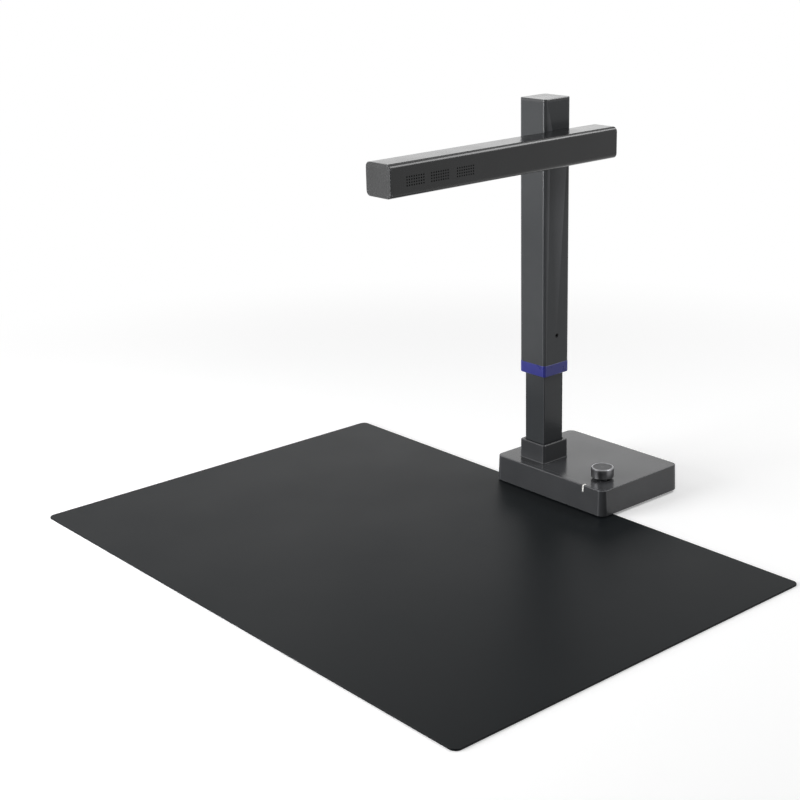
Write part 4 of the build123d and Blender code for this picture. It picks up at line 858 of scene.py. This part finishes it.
def makeHeadCap(name, look, faceY, axes, node):
    halfX, halfZ = look["half"]
    thick, edge = look["capThickness"], look["capEdge"]
    outer = -look["wall"] - look["spigotGap"]
    inner = outer - look["spigotWall"]
    profile = [
        (inner, 0),
        (inner, -look["spigotLength"]),
        (outer, -look["spigotLength"]),
        (outer, 0),
        (0, 0),
        (0, thick - edge),
        (-edge, thick),
        (-look["capRing"], thick),
    ]
    radii = [0, 0.3, 0.3, 0, 0.12, 0.25, 0.25, 0]
    rect = (halfX, halfZ, look["cornerRadius"])
    centreX, centreZ = look["centre"]
    cap = sweepSquare(name, rect, profile, radii, centre=(centreX, faceY, centreZ), axes=axes, steps=3)
    # the spigot is open below, where the cover slides in; the cutter starts a hair behind the cap's own inner face
    reach = look["spigotLength"] + 1
    middleY = faceY - np.sign(faceY) * (reach / 2 + 0.001)
    height, above = look["coverRelief"]
    cutAway(cap, [boxCutter((2 * halfX, reach, height), (centreX, middleY, centreZ - halfZ + above))])
    finishPiece(cap, "head", "head_plastic", [headPlastic], node)


makeHeadHousing(headLook)
makeHeadCap("headFrontCap", headLook, headLook["span"][0], frontAxes, "head_front_cap")
makeHeadCap("headRearCap", headLook, headLook["span"][1], backAxes, "head_rear_cap")
print("head made")

# Knob: one turned profile, with a fine pale ring painted on its rim as a highlight
knobShape = {
    "axis": (79.9, -3.0),
    "bottom": 29.6,
    "top": 38.9,
    "radius": 10.7,
    "bevel": 0.7,
    "bottomEdge": 0.4,
    "wall": 1.8,
    "web": 1.6,
    "hub": 4.3,
    "bore": 2.5,
    "rim": 1.3,
    "highlightRing": (9.55, 9.98),                # radii of the painted highlight ring on top of the rim
    "highlightSlack": 0.1,                           # how far the painted highlight ring runs out over the bevel
    "discThickness": 1.0,
    "discRecess": 0.2,
    "shaftTop": 36.7,
}


def makeKnob(look):
    bottom, top, radius = look["bottom"], look["top"], look["radius"]
    seat = radius - look["bevel"] - look["rim"]
    under = top - look["discThickness"] - look["web"]
    profile = [
        (look["bore"], look["shaftTop"]),
        (look["bore"], bottom),
        (look["hub"], bottom),
        (look["hub"], under),
        (radius - look["wall"], under),
        (radius - look["wall"], bottom),
        (radius - look["bottomEdge"], bottom),
        (radius, bottom + look["bottomEdge"]),
        (radius, top - look["bevel"]),
        (radius - look["bevel"], top),
        (look["highlightRing"][1] - look["highlightSlack"], top),
        (look["highlightRing"][0], top),
        (seat, top),
        (seat, top - look["discThickness"]),
    ]
    radii = [0, 0, 0, 0, 0, 0, 0.12, 0.12, 0.1, 0.03, 0, 0, 0.12, 0]
    knob = turnProfile("knob", profile, radii, centre=(*look["axis"], 0), segments=128, steps=3)
    # the painted highlight ring: faces on the rim's top whose middle lies between the ring's radii
    centres = np.empty(len(knob.data.polygons) * 3)
    knob.data.polygons.foreach_get("center", centres)
    centres = centres.reshape(-1, 3) / mm
    reach = np.hypot(centres[:, 0] - look["axis"][0], centres[:, 1] - look["axis"][1])
    innerHighlight, outerHighlight = look["highlightRing"]
    highlightFaces = (centres[:, 2] > top - 0.12) & (reach > innerHighlight) & (reach < outerHighlight + look["highlightSlack"])
    finishPiece(knob, "knob", "knob_aluminium", [knobBlack, knobRimHighlight], "knob")
    knob.data.polygons.foreach_set("material_index", highlightFaces.astype(np.int32))

    discRadius = seat - 0.05
    discTop = top - look["discRecess"]
    profile = [(discRadius, top - look["discThickness"]), (discRadius, discTop), (1.0, discTop)]
    disc = turnProfile("knobDisc", profile, [0, 0.15, 0], centre=(*look["axis"], 0), segments=128, steps=3)
    finishPiece(disc, "knob", "knob_aluminium", [knobDiscMetal], "knob_disc")


makeKnob(knobShape)
print("knob made")

# Document mat: a thin sheet with its edge trimmed and pressed round
matShape = {
    "size": (574.0, 388.0),
    "corner": 6.0,
    "centre": (24.45, -208.0, 0.0),
    "thickness": 1.6,
    "edge": 0.3,
    "rim": 3.0,                # from the edge to the plain middle of each face
}


def makeMat(look):
    halfX, halfY = look["size"][0] / 2, look["size"][1] / 2
    thick, edge = look["thickness"], look["edge"]
    rim, rect = look["rim"], (halfX, halfY, look["corner"])
    profile = [(-rim, 0), (0, 0), (0, thick - edge), (-edge, thick), (-rim, thick)]
    sheet = sweepSquare("documentMat", rect, profile, [0, 0.2, 0.2, 0.2, 0], centre=look["centre"], steps=3)
    finishPiece(sheet, "mat", "mat_rubber", [matSheet], "document_mat")


makeMat(matShape)
print("mat made")

# Finishes of the CAD nodes that keep their own meshes
def printedBoard(look):
    # Glass-epoxy laminate under green solder mask: copper runs show as slightly paler, slightly raised bands
    material, tree, coords = startMaterial("glassEpoxyBoard")
    bricks = {
        "Vector": coords,
        "Color1": (1, 1, 1, 1),
        "Color2": (0.8, 0.8, 0.8, 1),
        "Mortar": (0, 0, 0, 1),
        "Scale": 1.0,
        "Mortar Size": look["gap"] * mm,
        "Brick Width": look["run"] * mm,
        "Row Height": look["pitch"] * mm,
    }
    tracks = addNode(tree, "ShaderNodeTexBrick", bricks)
    tones = {0: tracks.outputs["Fac"], 6: linear(look["copper"]), 7: linear(look["mask"])}
    tone = addNode(tree, "ShaderNodeMix", tones, data_type="RGBA").outputs[2]
    closeMaterial(tree, look, {"Base Color": tone, "IOR": look["ior"]}, height=tracks.outputs["Color"])
    return material


def clearPane(look):
    # Clear polycarbonate or coated glass: a tinted, see-through pane with the faint haze of its coat
    material, tree, coords = startMaterial(look["name"])
    haze = noiseAt(tree, coords, look["cloud"])
    inputs = {"Base Color": cloudedTone(tree, look, haze), "IOR": look["ior"], "Transmission Weight": look["clear"]}
    closeMaterial(tree, look, inputs, haze)
    return material


def litDiffuser(look):
    # Frosted polycarbonate over a lamp: milky, softly lit from inside
    material, tree, coords = startMaterial("frostedPolycarbonate")
    frost = noiseAt(tree, coords, look["grain"])
    inputs = {
        "Base Color": cloudedTone(tree, look, frost), "IOR": look["ior"],
        "Emission Color": linear(look["glow"]), "Emission Strength": look["glowStrength"],
    }
    closeMaterial(tree, look, inputs, height=frost)
    return material


rubberLook = dict(
    blackAbs, colour="#1B1B1B", cloudColour="#202020", paintedGlintColour="#2A2A2A", cloud=9.0, grain=0.6,
    roughness=(0.6, 0.75), ior=1.48,
)
powderLook = dict(
    blackAbs, colour="#262627", cloudColour="#2B2B2C", paintedGlintColour="#303031", cloud=18.0, roughness=(0.45, 0.55)
)
socketLook = dict(
    blackAbs, colour="#171717", cloudColour="#1B1B1B", paintedGlintColour="#252525", cloud=5.0, grain=0.4, roughness=(0.35, 0.45)
)
acetalLook = dict(
    blackAbs, colour="#D9D6CD", cloudColour="#E2DFD6", paintedGlintColour="#ECEAE3", cloud=8.0, grain=0.5,
    roughness=(0.3, 0.42), ior=1.48,
)
boardLook = {
    "mask": "#14552C", "copper": "#2E7A45", "gap": 0.25, "run": 7.0, "pitch": 1.1, "depth": 0.035, "strength": 0.5,
    "roughness": 0.35, "ior": 1.5,
}
windowLook = {
    "name": "clearPolycarbonate", "colour": "#F2F6F7", "cloudColour": "#E9EFF0", "cloud": 7.0,
    "roughness": (0.02, 0.05), "ior": 1.58, "clear": 0.95,
}
lensLook = {
    "name": "coatedGlass", "colour": "#5A4E86", "cloudColour": "#4B5C8C", "cloud": 4.0,
    "roughness": (0.01, 0.03), "ior": 1.6, "clear": 0.7,
}
diffuserLook = {
    "colour": "#F2F1EC", "cloudColour": "#E8E8E4", "grain": 0.5, "depth": 0.01, "strength": 0.2,
    "roughness": 0.45, "ior": 1.58, "glow": "#FFFDF6", "glowStrength": 0.03,
}
metalLooks = {
    # name: colour, cloud colour, streak size and cloud size in millimetres, roughness, stretch of the streaks
    "zincPlatedSteel": ("#A3A5A8", "#B4B5B4", 0.6, 3.0, (0.28, 0.42), (1, 1, 1)),
    "blackenedSteel": ("#1A1A1B", "#212122", 0.4, 2.0, (0.4, 0.55), (1, 1, 1)),
    "groundSteel": ("#B9BABC", "#C3C4C6", 0.3, 6.0, (0.15, 0.28), (12, 1, 1)),
    "castIron": ("#5A5A5B", "#666463", 1.2, 14.0, (0.6, 0.8), (1, 1, 1)),
    "dieCastAluminium": ("#BDBEC0", "#C9CACC", 0.9, 10.0, (0.4, 0.55), (1, 1, 1)),
    "turnedBrass": ("#C9A45C", "#D2B06C", 0.3, 4.0, (0.2, 0.32), (1, 12, 12)),
    "nickelPlatedSteel": ("#C4C4C6", "#CFCFD0", 0.5, 3.0, (0.16, 0.26), (1, 1, 1)),
}
metalKeys = ("colour", "cloudColour", "streak", "cloud", "roughness", "stretch")
metals = {
    name: plainMetal(name, {"depth": 0.01, "strength": 0.25, **dict(zip(metalKeys, row))})
    for name, row in metalLooks.items()
}
slotFinishes = {
    "shell_plastic": shellPlastic,
    "tube_aluminium": tubeCoat,
    "head_plastic": headPlastic,
    "blue_plastic": bluePlastic,
    "knob_aluminium": knobBlack,
    "foot_rubber": mouldedPlastic("mouldedRubberFoot", rubberLook),
    "mat_rubber": matSheet,
    "plate_steel": mouldedPlastic("powderCoatedSteel", powderLook),
    "screw_steel": metals["zincPlatedSteel"],
    "shaft_steel": metals["groundSteel"],
    "ballast_iron": metals["castIron"],
    "cast_aluminium": metals["dieCastAluminium"],
    "bush_brass": metals["turnedBrass"],
    "guide_acetal": mouldedPlastic("mouldedAcetal", acetalLook),
    "circuit_board": printedBoard(boardLook),
    "socket_black": mouldedPlastic("mouldedNylonSocket", socketLook),
    "socket_metal": metals["nickelPlatedSteel"],
    "clear_window": clearPane(windowLook),
    "lens_glass": clearPane(lensLook),
    "light_plastic": litDiffuser(diffuserLook),
}
ownFinishes = {"grub_screw": metals["blackenedSteel"]}     # the small screw low on the mast is blackened, not plated
nodeSlots = {row["node"]: row["material_slot"] for row in frame["record"]["subparts"]}
for nodeName, node in frame["nodes"].items():
    finish = ownFinishes.get(nodeName, slotFinishes[nodeSlots[nodeName]])
    node.data.materials.clear()
    node.data.materials.append(finish)
print("CAD nodes finished")
